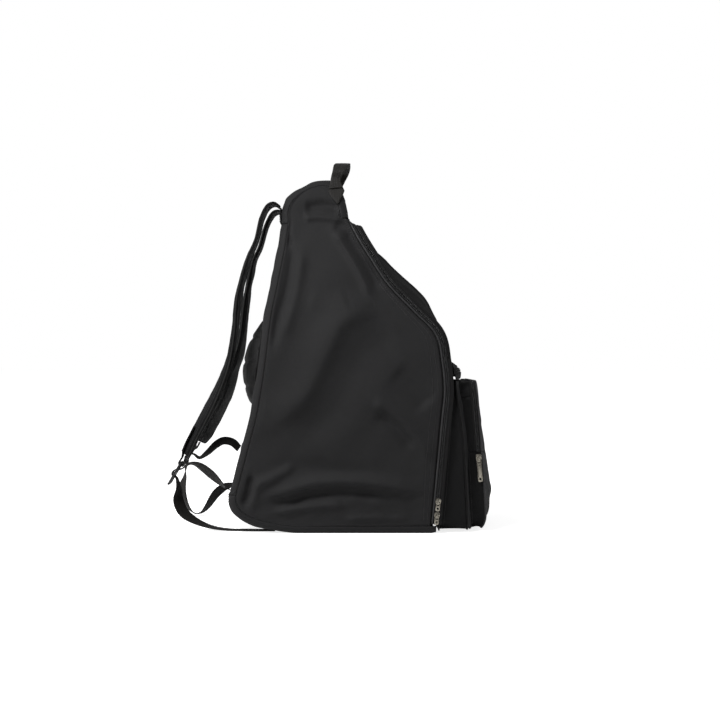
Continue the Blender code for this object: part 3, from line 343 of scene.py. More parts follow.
# %% Moulded plastic, plated metal and board
def moulded_plastic(name, tone, rough, grain=0.00004):
    finish, tree, shader = finish_tree(name)
    place = put(tree, "ShaderNodeTexCoord").outputs["Object"]
    pits = put(tree, "ShaderNodeTexNoise", Vector=place, Scale=1500.0, Detail=2.0).outputs[0]
    rubbed = put(tree, "ShaderNodeTexNoise", Vector=place, Scale=70.0, Detail=5.0, Roughness=0.7).outputs[0]
    tree.links.new(between(tree, rubbed, tuple(t * 0.7 for t in tone), tuple(t * 1.6 for t in tone)),
                   shader.inputs["Base Color"])
    tree.links.new(between(tree, rubbed, rough - 0.10, rough + 0.12), shader.inputs["Roughness"])
    raised = put(tree, "ShaderNodeBump", Strength=0.5, Distance=grain, Height=pits)
    tree.links.new(raised.outputs[0], shader.inputs["Normal"])
    return finish


def plated_metal(name, bright, dull):
    """Satin nickel with a warm cast, rubbed brighter in patches and finely scratched."""
    finish, tree, shader = finish_tree(name)
    place = put(tree, "ShaderNodeTexCoord").outputs["Object"]
    rubbed = put(tree, "ShaderNodeTexNoise", Vector=place, Scale=260.0, Detail=4.0, Roughness=0.6).outputs[0]
    stretch = put(tree, "ShaderNodeMapping", Vector=place, Scale=(1.0, 1.0, 0.12)).outputs[0]
    scratch = put(tree, "ShaderNodeTexNoise", Vector=stretch, Scale=5200.0, Detail=2.0).outputs[0]
    tree.links.new(between(tree, rubbed, dull, bright), shader.inputs["Base Color"])
    tree.links.new(between(tree, rubbed, 0.34, 0.20), shader.inputs["Roughness"])
    raised = put(tree, "ShaderNodeBump", Strength=0.25, Distance=0.00002, Height=scratch)
    tree.links.new(raised.outputs[0], shader.inputs["Normal"])
    shader.inputs["Metallic"].default_value = 1.0
    return finish


SHELL = nylon_cloth("shell nylon", (0.0075, 0.0074, 0.0077), (0.0165, 0.0163, 0.0170), 0.72, 0.04,
                    creases=0.0010, shine=0.15)
# The shell's nylon made darker and duller, for the front flap and the straps' outer faces: painted shade.
NYLON_IN_PAINTED_SHADE = nylon_cloth("front nylon", (0.0035, 0.0035, 0.0037), (0.0085, 0.0084, 0.0088), 0.76, 0.01,
                     shine=0.08)
# The shell's nylon made much darker and less shiny, for the pocket gussets: painted shade.
GUSSET_NYLON_IN_PAINTED_SHADE = nylon_cloth("gusset nylon", (0.0018, 0.0018, 0.0020), (0.0045, 0.0045, 0.0048), 0.62, 0.01,
                     shine=0.14)
LINING = nylon_cloth("lining", (0.020, 0.021, 0.023), (0.040, 0.041, 0.045), 0.60, 0.08, weave=0.0004)
MESH = spacer_mesh("spacer mesh", 0.007)
STRAP_TAPE = woven_tape("strap webbing", (0.0062, 0.0058, 0.0052), 0.0022)
HANDLE_TAPE = woven_tape("handle webbing", (0.0088, 0.0080, 0.0070), 0.0026)
BINDING = woven_tape("edge binding", (0.0060, 0.0059, 0.0058), 0.0012, slant=0.0)
ZIP_TAPE = woven_tape("zip tape", (0.0048, 0.0047, 0.0048), 0.0009, slant=0.5)
COIL = moulded_plastic("zip coil", (0.0110, 0.0110, 0.0115), 0.36)
THREAD = sewing_thread("sewing thread", (0.0120, 0.0120, 0.0126))
ACETAL = moulded_plastic("ladder lock plastic", (0.0065, 0.0065, 0.0070), 0.34)
# Both tones sit well below bare nickel: a painted dark reflection that stands in for the black bag mirrored
# in the pulls.
NICKEL_WITH_PAINTED_DARK_REFLECTION = plated_metal("nickel plate", (0.44, 0.41, 0.35), (0.15, 0.14, 0.115))
BOARD = moulded_plastic("stiffener board", (0.045, 0.045, 0.047), 0.62, grain=0.0001)
print("finishes:", ", ".join(m.name for m in bpy.data.materials if m.use_nodes and not m.name[0].isupper()))

# %% [markdown]
# ## Cloth as a grid
# A sewn panel is a sheet with two edges one way and two the other, so each is built as a grid of points,
# row by row. The maker below turns such a grid into a mesh, gives it a UV map in metres, checks that its
# faces look away from the inside of the bag, and adds the cloth's thickness with Solidify. The thickness
# goes inwards, and the inner face can carry a lining.

# %% Grid makers
def grid_faces(n, m, round_row=False):
    i, j = np.meshgrid(np.arange(n - 1), np.arange(m if round_row else m - 1), indexing="ij")
    a, b = i * m + j, i * m + (j + 1) % m
    return np.stack([a, b, b + m, a + m], -1).reshape(-1, 4)


def mesh_of(name, rows, round_row, faces_out):
    """A mesh from an array of rows of points. faces_out holds a direction for every point, or one for all."""
    rows = np.array(rows, float)
    n, m = rows.shape[:2]
    faces = grid_faces(n, m, round_row)
    points = rows.reshape(-1, 3)
    if faces_out is not None:
        a, b, c = points[faces[:, 0]], points[faces[:, 1]], points[faces[:, 3]]
        normal = np.cross(b - a, c - a)
        wanted = np.broadcast_to(np.array(faces_out, float), rows.shape).reshape(-1, 3)[faces[:, 0]]
        if (normal * wanted).sum() < 0:
            faces = faces[:, ::-1]
    mesh = bpy.data.meshes.new(name)
    mesh.from_pydata(points.tolist(), [], faces.tolist())
    u = np.zeros((n, m))
    v = np.zeros((n, m))
    u[1:] = np.cumsum(np.linalg.norm(np.diff(rows, axis=0), axis=2), axis=0).mean(axis=1, keepdims=True)
    v[:, 1:] = np.cumsum(np.linalg.norm(np.diff(rows, axis=1), axis=2), axis=1)
    v -= v[:, -1:] / 2
    layer = mesh.uv_layers.new(name="strip")
    flat = np.stack([u, v], -1).reshape(-1, 2)[faces.reshape(-1)]
    layer.data.foreach_set("uv", flat.astype(np.float32).reshape(-1))
    mesh.shade_smooth()
    return mesh


def place_piece(name, mesh, finishes, body, nodes=()):
    """Puts a mesh in the scene, standing for its CAD nodes. It rides on a body, if it is given one."""
    for finish in finishes:
        mesh.materials.append(finish)
    piece = bpy.data.objects.new(name, mesh)
    bpy.context.scene.collection.objects.link(piece)
    if body:
        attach(piece, body)
    if nodes:
        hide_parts(*nodes)
    return piece


def panel(name, rows, outward, body, nodes, skin, wall=0.0016, lining=None):
    """One sewn panel: the grid is its outer face and the cloth is wall thick behind it."""
    mesh = mesh_of(name, rows, False, outward)
    piece = place_piece(name, mesh, [skin, lining or skin], body, nodes)
    thick = piece.modifiers.new("cloth thickness", "SOLIDIFY")
    thick.thickness = wall
    thick.offset = -1.0
    thick.use_rim = True
    thick.material_offset = 1
    thick.material_offset_rim = 0
    return piece


def away_from(rows, centre):
    return np.array(rows, float) - np.array(centre, float)


def normals_of(rows, outward):
    """A unit normal for every grid point, on the side of outward."""
    along = np.gradient(rows, axis=0)
    across = np.gradient(rows, axis=1)
    n = np.cross(along, across)
    n /= np.maximum(np.linalg.norm(n, axis=2, keepdims=True), 1e-12)
    flip = np.sign((n * outward).sum(axis=2, keepdims=True))
    return n * np.where(flip == 0, 1, flip)


# %% [markdown]
# ## Folds
# Sewn nylon without a frame never lies flat. Its folds are long, soft and few: a ridge runs from where
# the cloth is held towards where it hangs free, and a valley runs beside it. Each fold here is a line
# with a height and a softness, added together over the panel, with a slow ripple between them. A cloth
# solver could find folds of its own, but not the ones this bag has, so the panels are shaped from listed
# folds and the solver is kept for the pads.

# %% Fold makers
def fold(a, b, line, height, soft, lean=0.0, fade=0.18):
    """The height that one fold adds at the points (a, b). A lean makes the side before the line steeper."""
    run = smooth_run(line, 6)
    best = np.full(np.shape(a), 1e9)
    side = np.zeros(np.shape(a))
    where = np.zeros(np.shape(a))
    for k in range(len(run) - 1):
        p, d = run[k], run[k + 1] - run[k]
        t = np.clip(((a - p[0]) * d[0] + (b - p[1]) * d[1]) / (d @ d), 0, 1)
        da, db = a - p[0] - t * d[0], b - p[1] - t * d[1]
        distance = np.hypot(da, db)
        nearer = distance < best
        best = np.where(nearer, distance, best)
        side = np.where(nearer, np.sign(d[0] * db - d[1] * da), side)
        where = np.where(nearer, (k + t) / (len(run) - 1), where)
    width = soft * (1 - lean * side)
    ends = np.clip(np.minimum(where, 1 - where) / fade, 0, 1)
    ends = ends * ends * (3 - 2 * ends) * 0.85 + 0.15
    return height * np.exp(-((best / width) ** 2)) * ends


def ripple(a, b, size, seed=0.0):
    """A slow uneven swell between -1 and 1, with no pattern that repeats over a panel."""
    a, b = a / size + seed, b / size - seed * 0.7
    return (np.sin(a * 1.7 + np.sin(b * 1.3 + seed)) * 0.5
            + np.sin(b * 2.1 + np.sin(a * 1.1 - seed)) * 0.3
            + np.sin((a + b) * 3.3 + np.sin(a * 2.3) + seed) * 0.2)


def held(t, hem):
    """0 on both edges of a panel and 1 beyond hem from them, where t runs from 0 to 1."""
    s = np.clip(np.minimum(t, 1 - t) / hem, 0, 1)
    return s * s * (3 - 2 * s)


# %% [markdown]
# ## Base, back and top cap
# One strip of cloth runs under the bag, up the back and over the top, cut in three where the pattern
# changes. It turns round the sides on a small radius and its edge dives into the seam, which is what
# makes a seam look sewn: two rolled edges with a groove between. The base lies flat under load, the back
# is held straight by its board, and the cap slumps a little between its seams.

# %% The strip's cross-section and the three panels
wrap_run = smooth_run(WRAP, 10)
wrap_run[:, 1] = np.maximum(wrap_run[:, 1], 0.0)
wrap_along = np.gradient(wrap_run, axis=0)
wrap_along /= np.linalg.norm(wrap_along, axis=1, keepdims=True)
wrap_in = np.stack([-wrap_along[:, 1], wrap_along[:, 0]], 1)
INSIDE = (0.0, 0.02, 0.22)


def wrap_rows(first, last):
    """Rows of points across the strip, from its left seam to its right one."""
    rows = []
    turn = np.radians(np.linspace(0, 90, 9))
    off = np.concatenate([[0.0007, 0.0001], EDGE * (1 - np.cos(turn))])
    d = np.concatenate([[EDGE + 0.0003, EDGE + 0.0001], EDGE * (1 - np.sin(turn))])
    for i in range(first * 10, last * 10 + 1):
        p, n = wrap_run[i], wrap_in[i]
        w = float(half_width(p[1]))
        x = off - half_width(p[1] + n[1] * d)
        middle = np.linspace(-(w - EDGE), w - EDGE, 43)[1:-1]
        xs = np.concatenate([x, middle, -x[::-1]])
        ds = np.concatenate([d, np.zeros(len(middle)), d[::-1]])
        rows.append(np.stack([xs, p[0] + n[0] * ds, p[1] + n[1] * ds], 1))
    return np.array(rows)


def tucked(rows, start, end, depth=0.0016):
    """The same rows with the first and the last rolled inwards, as the edge of a seam is."""
    rows = rows.copy()
    inner = np.array(INSIDE)
    for wanted, order in ((start, (0, 1)), (end, (-1, -2))):
        if wanted:
            edge = rows[order[0]]
            towards = inner - edge
            towards /= np.linalg.norm(towards, axis=1, keepdims=True)
            rows[order[0]] = edge + towards * depth
    return rows


def across_share(rows):
    """Where each point lies across its row, from 0 to 1."""
    x = rows[:, :, 0]
    return (x - x[:, :1]) / (x[:, -1:] - x[:, :1])


base_rows = wrap_rows(0, BACK_SEAM)
share = across_share(base_rows)
lift = held(share, 0.04) * np.clip((base_rows[:, :, 1] - 0.08) / 0.05, 0, 1)
out = normals_of(base_rows, away_from(base_rows, INSIDE))
sag = 0.0019 * ripple(base_rows[:, :, 0], base_rows[:, :, 1] + base_rows[:, :, 2], 0.030, 1.3)
base_rows = base_rows + out * (sag * lift)[:, :, None]
base_rows[:, :, 2] = np.maximum(base_rows[:, :, 2], 0.0)
panel("base_cloth", tucked(base_rows, True, True), away_from(base_rows, INSIDE), "bag",
      ["base_panel"], SHELL, lining=LINING)

back_rows = wrap_rows(BACK_SEAM, CAP_SEAM)
share = across_share(back_rows)
x, z = back_rows[:, :, 0], back_rows[:, :, 2]
out = normals_of(back_rows, away_from(back_rows, INSIDE))
relief = 0.0020 * ripple(x, z, 0.030, 0.4)
for height, at in ((0.0026, 0.118), (0.0022, 0.150), (-0.0024, 0.134), (0.0018, 0.330), (-0.0020, 0.345)):
    line = [(-0.125, at + 0.006), (-0.04, at - 0.004), (0.05, at + 0.003), (0.12, at - 0.005)]
    relief = relief + fold(x, z, line, height, 0.0085)
relief = relief * held(share, 0.04) * held(np.linspace(0, 1, len(x))[:, None], 0.05)
relief = np.where(relief < 0, 0.0006 * np.tanh(relief / 0.0006), relief)
beyond_cushion = np.clip((x / 0.100) ** 4 + ((z - 0.239) / 0.085) ** 4 - 1, 0, 1)
back_rows = back_rows + out * (relief * beyond_cushion)[:, :, None]
panel("back_cloth", tucked(back_rows, True, True), away_from(back_rows, INSIDE), "bag", ["back_panel"], SHELL,
      lining=LINING)

cap_rows = wrap_rows(CAP_SEAM, len(WRAP) - 1)
share = across_share(cap_rows)
x, y, z = np.moveaxis(cap_rows, 2, 0)
out = normals_of(cap_rows, away_from(cap_rows, (0, 0.045, 0.45)))
over = np.linspace(0, 1, len(x))[:, None] * np.ones_like(x)
relief = 0.0014 * ripple(x, over * 0.15, 0.024, 2.2)
relief = relief - 0.0022 * np.sin(math.pi * over) * (1 - (2 * share - 1) ** 2)
for height, at in ((0.0022, 0.22), (-0.0018, 0.36), (0.0020, 0.58), (-0.0016, 0.70)):
    line = [(-0.08, at * 0.15), (0.0, at * 0.15 + 0.006), (0.08, at * 0.15 - 0.004)]
    relief = relief + fold(x, over * 0.15, line, height, 0.0065)
relief = relief * held(share, 0.14) * held(over, 0.08)
cap_rows = cap_rows + out * relief[:, :, None]
panel("cap_cloth", tucked(cap_rows, True, False), away_from(cap_rows, (0, 0.045, 0.45)), "bag",
      ["top_cap"], SHELL, lining=LINING)
print("strip from front to front:", round(length_of(wrap_run), 3), "m of cloth")

# %% [markdown]
# ## The two sides
# A side panel is held on all four edges: by the strip along its back and base, by the cap above, and by
# the front zip. Inside those edges it hangs from the cap and leans on the boots. That gives the long fold
# down from the top of the zip, the broad slack below it, and the short creases that gather at the lower
# corners. The panel is a patch stretched between its four edge curves, so its rows follow the seams.

# %% The side panel's four edges
seam_run = wrap_run + wrap_in * (EDGE + 0.0004)


def seam_piece(keep):
    return seam_run[[k for k in range(len(seam_run)) if keep(k)]]


summit = int(np.argmax(seam_run[:, 1]))
back_top, front_top = summit - 4, summit + 4
low = EDGE + 0.0006
corner_at = next(k for k in range(len(seam_run)) if seam_run[k, 0] > 0.060)
back_edge = resampled(seam_piece(lambda k: corner_at <= k <= back_top), 150)
zip_heights = np.linspace(low, CAP_FRONT - 0.0040, 90)
zip_slope = np.gradient(at_height(ZIP_EDGE, zip_heights), zip_heights)
zip_side = np.stack([at_height(ZIP_EDGE, zip_heights) + 0.0021 * np.sqrt(1 + zip_slope**2), zip_heights], 1)
front_edge = np.vstack([zip_side, seam_run[::-1][:len(seam_run) - front_top]])
front_edge = resampled(front_edge, 150)
bottom_edge = resampled([(back_edge[0, 0], back_edge[0, 1]), (front_edge[0, 0], front_edge[0, 1])], 112)
top_edge = resampled(seam_piece(lambda k: back_top <= k <= front_top), 112)
top_edge[0], top_edge[-1] = back_edge[-1], front_edge[-1]


def patch_between(bottom, top, left, right):
    """A sheet stretched between four edge curves (bottom and top run from left to right)."""
    u = np.linspace(0, 1, len(bottom))[None, :, None]
    v = np.linspace(0, 1, len(left))[:, None, None]
    flat = ((1 - v) * bottom[None] + v * top[None] + (1 - u) * left[:, None] + u * right[:, None]
            - (1 - u) * (1 - v) * bottom[0] - u * (1 - v) * bottom[-1]
            - (1 - u) * v * top[0] - u * v * top[-1])
    return flat


side_flat = patch_between(bottom_edge, top_edge, back_edge, front_edge)
side_u = np.broadcast_to(np.linspace(0, 1, 112)[None], side_flat.shape[:2])
side_v = np.broadcast_to(np.linspace(0, 1, 150)[:, None], side_flat.shape[:2])
print("side panel: back seam", round(length_of(back_edge), 3), "m")
print("side panel: zip seam", round(length_of(front_edge), 3), "m")

# %% Folds of a side panel, seen square on, as (depth, height) in metres
SIDE_FOLDS = [
    # line, height out of the panel, softness, lean
    ([(0.024, 0.430), (0.005, 0.403), (-0.016, 0.366), (-0.031, 0.331)], 0.0050, 0.0085, 0.25),
    ([(0.008, 0.428), (-0.008, 0.400), (-0.028, 0.366), (-0.042, 0.338)], -0.0046, 0.0085, 0.0),
    ([(-0.043, 0.316), (0.005, 0.300), (0.028, 0.261), (0.052, 0.210), (0.075, 0.179), (0.122, 0.144)],
     0.0068, 0.0185, -0.30),
    ([(-0.070, 0.285), (-0.030, 0.262), (0.004, 0.214), (0.032, 0.165), (0.078, 0.128)], -0.0045, 0.024, 0.0),
    ([(0.082, 0.405), (0.084, 0.373), (0.091, 0.335), (0.103, 0.290), (0.108, 0.255)], -0.0030, 0.0065, 0.0),
    ([(0.068, 0.400), (0.071, 0.360), (0.080, 0.318), (0.094, 0.270)], 0.0028, 0.0080, 0.0),
    ([(-0.028, 0.183), (-0.058, 0.170), (-0.089, 0.136), (-0.120, 0.100)], 0.0040, 0.0095, 0.30),
    ([(-0.035, 0.168), (-0.066, 0.150), (-0.092, 0.118)], -0.0036, 0.0100, 0.0),
    ([(-0.062, 0.228), (-0.088, 0.205), (-0.113, 0.176)], -0.0042, 0.0170, 0.0),
    ([(0.132, 0.066), (0.105, 0.078), (0.075, 0.096)], 0.0042, 0.0068, 0.2),
    ([(0.122, 0.050), (0.084, 0.060), (0.050, 0.069), (0.013, 0.073), (-0.028, 0.070), (-0.070, 0.064),
      (-0.112, 0.056)], 0.0060, 0.0082, 0.30),
    ([(0.118, 0.040), (0.080, 0.048), (0.040, 0.056), (-0.010, 0.058), (-0.070, 0.050)],
     -0.0042, 0.0072, 0.0),
    ([(0.109, 0.028), (0.070, 0.035), (0.030, 0.039), (0.006, 0.038)], 0.0034, 0.0052, 0.2),
    ([(0.008, 0.021), (-0.035, 0.022), (-0.089, 0.020)], 0.0026, 0.0048, 0.0),
    ([(0.112, 0.090), (0.060, 0.094), (0.010, 0.086), (-0.040, 0.088)], -0.0026, 0.0120, 0.0),
    ([(0.137, 0.083), (0.141, 0.060), (0.150, 0.036)], -0.0046, 0.0050, 0.0),
    ([(0.128, 0.072), (0.131, 0.052), (0.138, 0.034)], 0.0030, 0.0050, 0.0),
    ([(0.068, 0.447), (0.040, 0.448), (0.006, 0.444)], 0.0042, 0.0062, 0.35),
    ([(0.066, 0.462), (0.038, 0.466), (0.014, 0.460)], -0.0052, 0.0085, 0.0),
    ([(0.088, 0.446), (0.090, 0.425), (0.084, 0.404)], -0.0030, 0.0050, 0.0),
    ([(0.022, 0.438), (0.008, 0.430), (-0.004, 0.420)], -0.0022, 0.0075, 0.0),
    ([(0.060, 0.330), (0.030, 0.322), (0.000, 0.330)], 0.0016, 0.0140, 0.0),
]


def side_sheet(sign, drift, strength):
    """One side. drift moves the folds a little, so that the two sides aren't mirror images."""
    y, z = side_flat[:, :, 0], side_flat[:, :, 1]
    upright = np.sin(math.pi * np.clip(z / CAP_FRONT, 0, 1)) ** 0.8
    swell = 0.0065 * np.sin(math.pi * side_u) * upright
    relief = np.zeros_like(y)
    for line, height, soft, lean in SIDE_FOLDS:
        moved = [(a + drift * math.sin(19 * a + 3), b + drift * math.cos(23 * b + 1)) for a, b in line]
        relief = relief + fold(y, z, moved, height, soft, lean)
    relief = relief + 0.0012 * ripple(y, z, 0.040, 0.8 + drift * 60)
    low_down = np.exp(-((z - 0.04) / 0.05) ** 2)
    relief = relief + 0.00045 * ripple(y, z * 1.6, 0.0085, 2.1 + drift * 40) * low_down
    grip = held(side_u, 0.045) * held(side_v, 0.030)
    x = half_width(z) + swell + relief * strength * grip
    rows = np.stack([sign * x, y, z], 2)
    tuck = np.zeros_like(y)
    tuck[:, 0] = tuck[:, -1] = tuck[0] = tuck[-1] = 0.0006
    rows[:, :, 0] -= sign * tuck
    return rows


side_rows = {}
for side, sign, drift, strength in (("left", -1, 0.0, 1.35), ("right", 1, 0.009, 1.2)):
    rows = side_rows[side] = side_sheet(sign, drift, strength)
    panel("side_cloth_" + side, rows, (sign, 0, 0), "bag", ["side_panel_" + side], SHELL, lining=LINING)
print("side folds:", len(SIDE_FOLDS))

# %% [markdown]
# ## Small things in rows: stitches and zip coils
# A line of stitching, or one side of a zip, is the same small shape repeated along a path. Geometry Nodes
# do that: the path is cut into steps, the shape is placed at each step, turned to lie along the path with
# its back to the cloth, and the copies are made real. The tree is built once. Each row of parts then sets
# its own pitch and size, and the result is turned into a plain mesh for the body that it rides on.

# %% The tree that repeats a bead along a path
def bead_tree():
    tree = bpy.data.node_groups.new("beads along a path", "GeometryNodeTree")
    face = tree.interface
    face.new_socket("Geometry", in_out="OUTPUT", socket_type="NodeSocketGeometry")
    face.new_socket("Geometry", in_out="INPUT", socket_type="NodeSocketGeometry")
    face.new_socket("Pitch", in_out="INPUT", socket_type="NodeSocketFloat")
    face.new_socket("Size", in_out="INPUT", socket_type="NodeSocketVector")
    face.new_socket("Turn", in_out="INPUT", socket_type="NodeSocketFloat")
    face.new_socket("Finish", in_out="INPUT", socket_type="NodeSocketMaterial")
    given = tree.nodes.new("NodeGroupInput").outputs
    line = put(tree, "GeometryNodeMeshToCurve", Mesh=given["Geometry"]).outputs[0]
    cut = put(tree, "GeometryNodeResampleCurve", {"mode": "LENGTH"}, Curve=line,
              Length=given["Pitch"]).outputs[0]
    ahead = put(tree, "GeometryNodeInputTangent").outputs[0]
    stored = put(tree, "GeometryNodeInputNamedAttribute", {"data_type": "FLOAT_VECTOR"}, Name="up").outputs[0]
    along = put(tree, "FunctionNodeAlignRotationToVector", {"axis": "X"}, Vector=ahead).outputs[0]
    upright = put(tree, "FunctionNodeAlignRotationToVector", {"axis": "Z", "pivot_axis": "X"}, Rotation=along,
                  Vector=stored).outputs[0]
    spin = put(tree, "ShaderNodeCombineXYZ", Z=given["Turn"]).outputs[0]
    turned = put(tree, "FunctionNodeRotateRotation", {"rotation_space": "LOCAL"}, Rotation=upright,
                 Rotate_By=spin).outputs[0]
    bead = put(tree, "GeometryNodeMeshUVSphere", Segments=6, Rings=4, Radius=0.5).outputs[0]
    copies = put(tree, "GeometryNodeInstanceOnPoints", Points=cut, Instance=bead, Rotation=turned,
                 Scale=given["Size"]).outputs[0]
    real = put(tree, "GeometryNodeRealizeInstances", Geometry=copies).outputs[0]
    soft = put(tree, "GeometryNodeSetShadeSmooth", Geometry=real).outputs[0]
    painted = put(tree, "GeometryNodeSetMaterial", Geometry=soft, Material=given["Finish"]).outputs[0]
    tree.links.new(painted, tree.nodes.new("NodeGroupOutput").inputs[0])
    return tree


BEADS = bead_tree()


def row_of(name, lines, body, finish, pitch, size, turn=0.0):
    """Beads of this size (along, across, high) along lines of (point, up) pairs, one mesh for one body."""
    points, edges, ups = [], [], []
    for line, up in lines:
        start = len(points)
        line = np.array(line, float)
        points += line.tolist()
        ups += np.broadcast_to(np.array(up, float), line.shape).tolist()
        edges += [(start + k, start + k + 1) for k in range(len(line) - 1)]
    mesh = bpy.data.meshes.new(name + "_path")
    mesh.from_pydata(points, edges, [])
    layer = mesh.attributes.new("up", "FLOAT_VECTOR", "POINT")
    layer.data.foreach_set("vector", np.array(ups, np.float32).reshape(-1))
    guide = bpy.data.objects.new(name + "_path", mesh)
    bpy.context.scene.collection.objects.link(guide)
    repeat = guide.modifiers.new("beads", "NODES")
    repeat.node_group = BEADS
    wanted = {"Pitch": pitch, "Size": size, "Turn": turn, "Finish": finish}
    for item in BEADS.interface.items_tree:
        if item.in_out == "INPUT" and item.name in wanted:
            repeat[item.identifier] = wanted[item.name]
    guide.update_tag()
    bpy.context.view_layer.update()
    made = bpy.data.meshes.new_from_object(guide.evaluated_get(bpy.context.evaluated_depsgraph_get()))
    bpy.data.objects.remove(guide, do_unlink=True)
    made.name = name
    return place_piece(name, made, [] if len(made.materials) else [finish], body)


SEWN_HERE = {}


def sew(body, line, up, off=0.0002):
    """Remembers a line of stitches for this body. They are all made together at the end."""
    line, up = np.array(line, float), np.broadcast_to(np.array(up, float), np.shape(line))
    up = up / np.maximum(np.linalg.norm(up, axis=1, keepdims=True), 1e-9)
    SEWN_HERE.setdefault(body, []).append((line + up * off, up))


def sew_row(body, rows, index, outward, ends=0):
    """Stitches along one row or column of a panel's grid, lying on its cloth."""
    n = normals_of(rows, outward)
    line, up = rows[index], n[index]
    last = len(line) - ends
    sew(body, line[ends:last], up[ends:last])


sew_row("bag", cap_rows, 3, away_from(cap_rows, (0, 0.045, 0.45)), 4)
sew_row("bag", cap_rows, -3, away_from(cap_rows, (0, 0.045, 0.45)), 12)
sew_row("bag", back_rows, 3, away_from(back_rows, INSIDE), 4)
sew_row("bag", back_rows, -4, away_from(back_rows, INSIDE), 4)
print("bead tree:", len(BEADS.nodes), "nodes")

# %% [markdown]
# ## Webbing and tape
# Webbing is woven flat, so it bends easily one way and hardly at all the other. It is drawn as a strip: a
# path down its middle, a direction across it at each point, and a thickness. Its two long edges are a
# little thinner than its middle. Corner tabs, strap anchors, the straps' end loops and the grab handle
# are all such strips.

# %% A strip of webbing along a path
def tangents_of(path):
    t = np.gradient(path, axis=0)
    return t / np.maximum(np.linalg.norm(t, axis=1, keepdims=True), 1e-12)


def strip_rows(path, width, across, crown=0.0003, columns=9):
    """Rows of points across a strip whose middle follows the path."""
    path = np.array(path, float)
    t = tangents_of(path)
    side = np.broadcast_to(np.array(across, float), path.shape)
    side = side - t * (side * t).sum(axis=1, keepdims=True)
    side = side / np.linalg.norm(side, axis=1, keepdims=True)
    up = np.cross(t, side)
    half = np.broadcast_to(np.array(width, float), (len(path),)) / 2
    k = np.linspace(-1, 1, columns)
    rows = (path[:, None] + side[:, None] * (half[:, None] * k)[:, :, None]
            + up[:, None] * (crown * (1 - k**4))[None, :, None])
    return rows, up


def webbing_strip(name, path, width, thick, across, body, nodes, finish, columns=9, crown=0.0003):
    rows, up = strip_rows(path, width, across, crown, columns)
    mesh = mesh_of(name, rows, False, up[:, None])
    piece = place_piece(name, mesh, [finish], body, nodes)
    thickness = piece.modifiers.new("webbing thickness", "SOLIDIFY")
    thickness.thickness = thick
    thickness.offset = 0.0
    round_edges = piece.modifiers.new("soft edges", "BEVEL")
    round_edges.width = thick * 0.30
    round_edges.segments = 2
    round_edges.limit_method = "ANGLE"
    round_edges.angle_limit = math.radians(50)
    return piece


def finished_mesh(piece):
    """Makes a piece's modifiers part of its mesh."""
    bpy.context.view_layer.update()
    mesh = bpy.data.meshes.new_from_object(piece.evaluated_get(bpy.context.evaluated_depsgraph_get()))
    piece.modifiers.clear()
    piece.data = mesh
    return piece


# %% [markdown]
# ## The two adjusting webbings
# From a tab at each lower corner of the back, one 20 mm webbing goes up into the ladder lock, over its
# middle bar and down again to a free tail. It is limp: the near tail drops to the floor and runs under
# the bag, and the far one lifts in a loop before it lies down. Their paths are the same ones that the
# frame's ribbons follow. Each webbing rides on no body: it is made once, in place, curving from the bag
# towards its strap.

# %% Ladder lock places
LOCK_HALF, LOCK_X = 0.0185, 0.088
LOCKS = {"left": (-1, (0.2411, 0.0963), (0.2598, 0.0646)), "right": (1, (0.2425, 0.1075), (0.2605, 0.0790))}


def lock_frame(side):
    """Sign, middle, direction down the lock, direction out of it and the point of its top bar."""
    sign, top, foot = LOCKS[side]
    top, foot = np.array([sign * LOCK_X, *top]), np.array([sign * LOCK_X, *foot])
    down = (foot - top) / np.linalg.norm(foot - top)
    out = np.cross((1, 0, 0), down)
    out = out if out[1] > 0 else -out
    middle = (top + foot) / 2
    return sign, middle, down, out, middle - down * (LOCK_HALF - 0.0016)


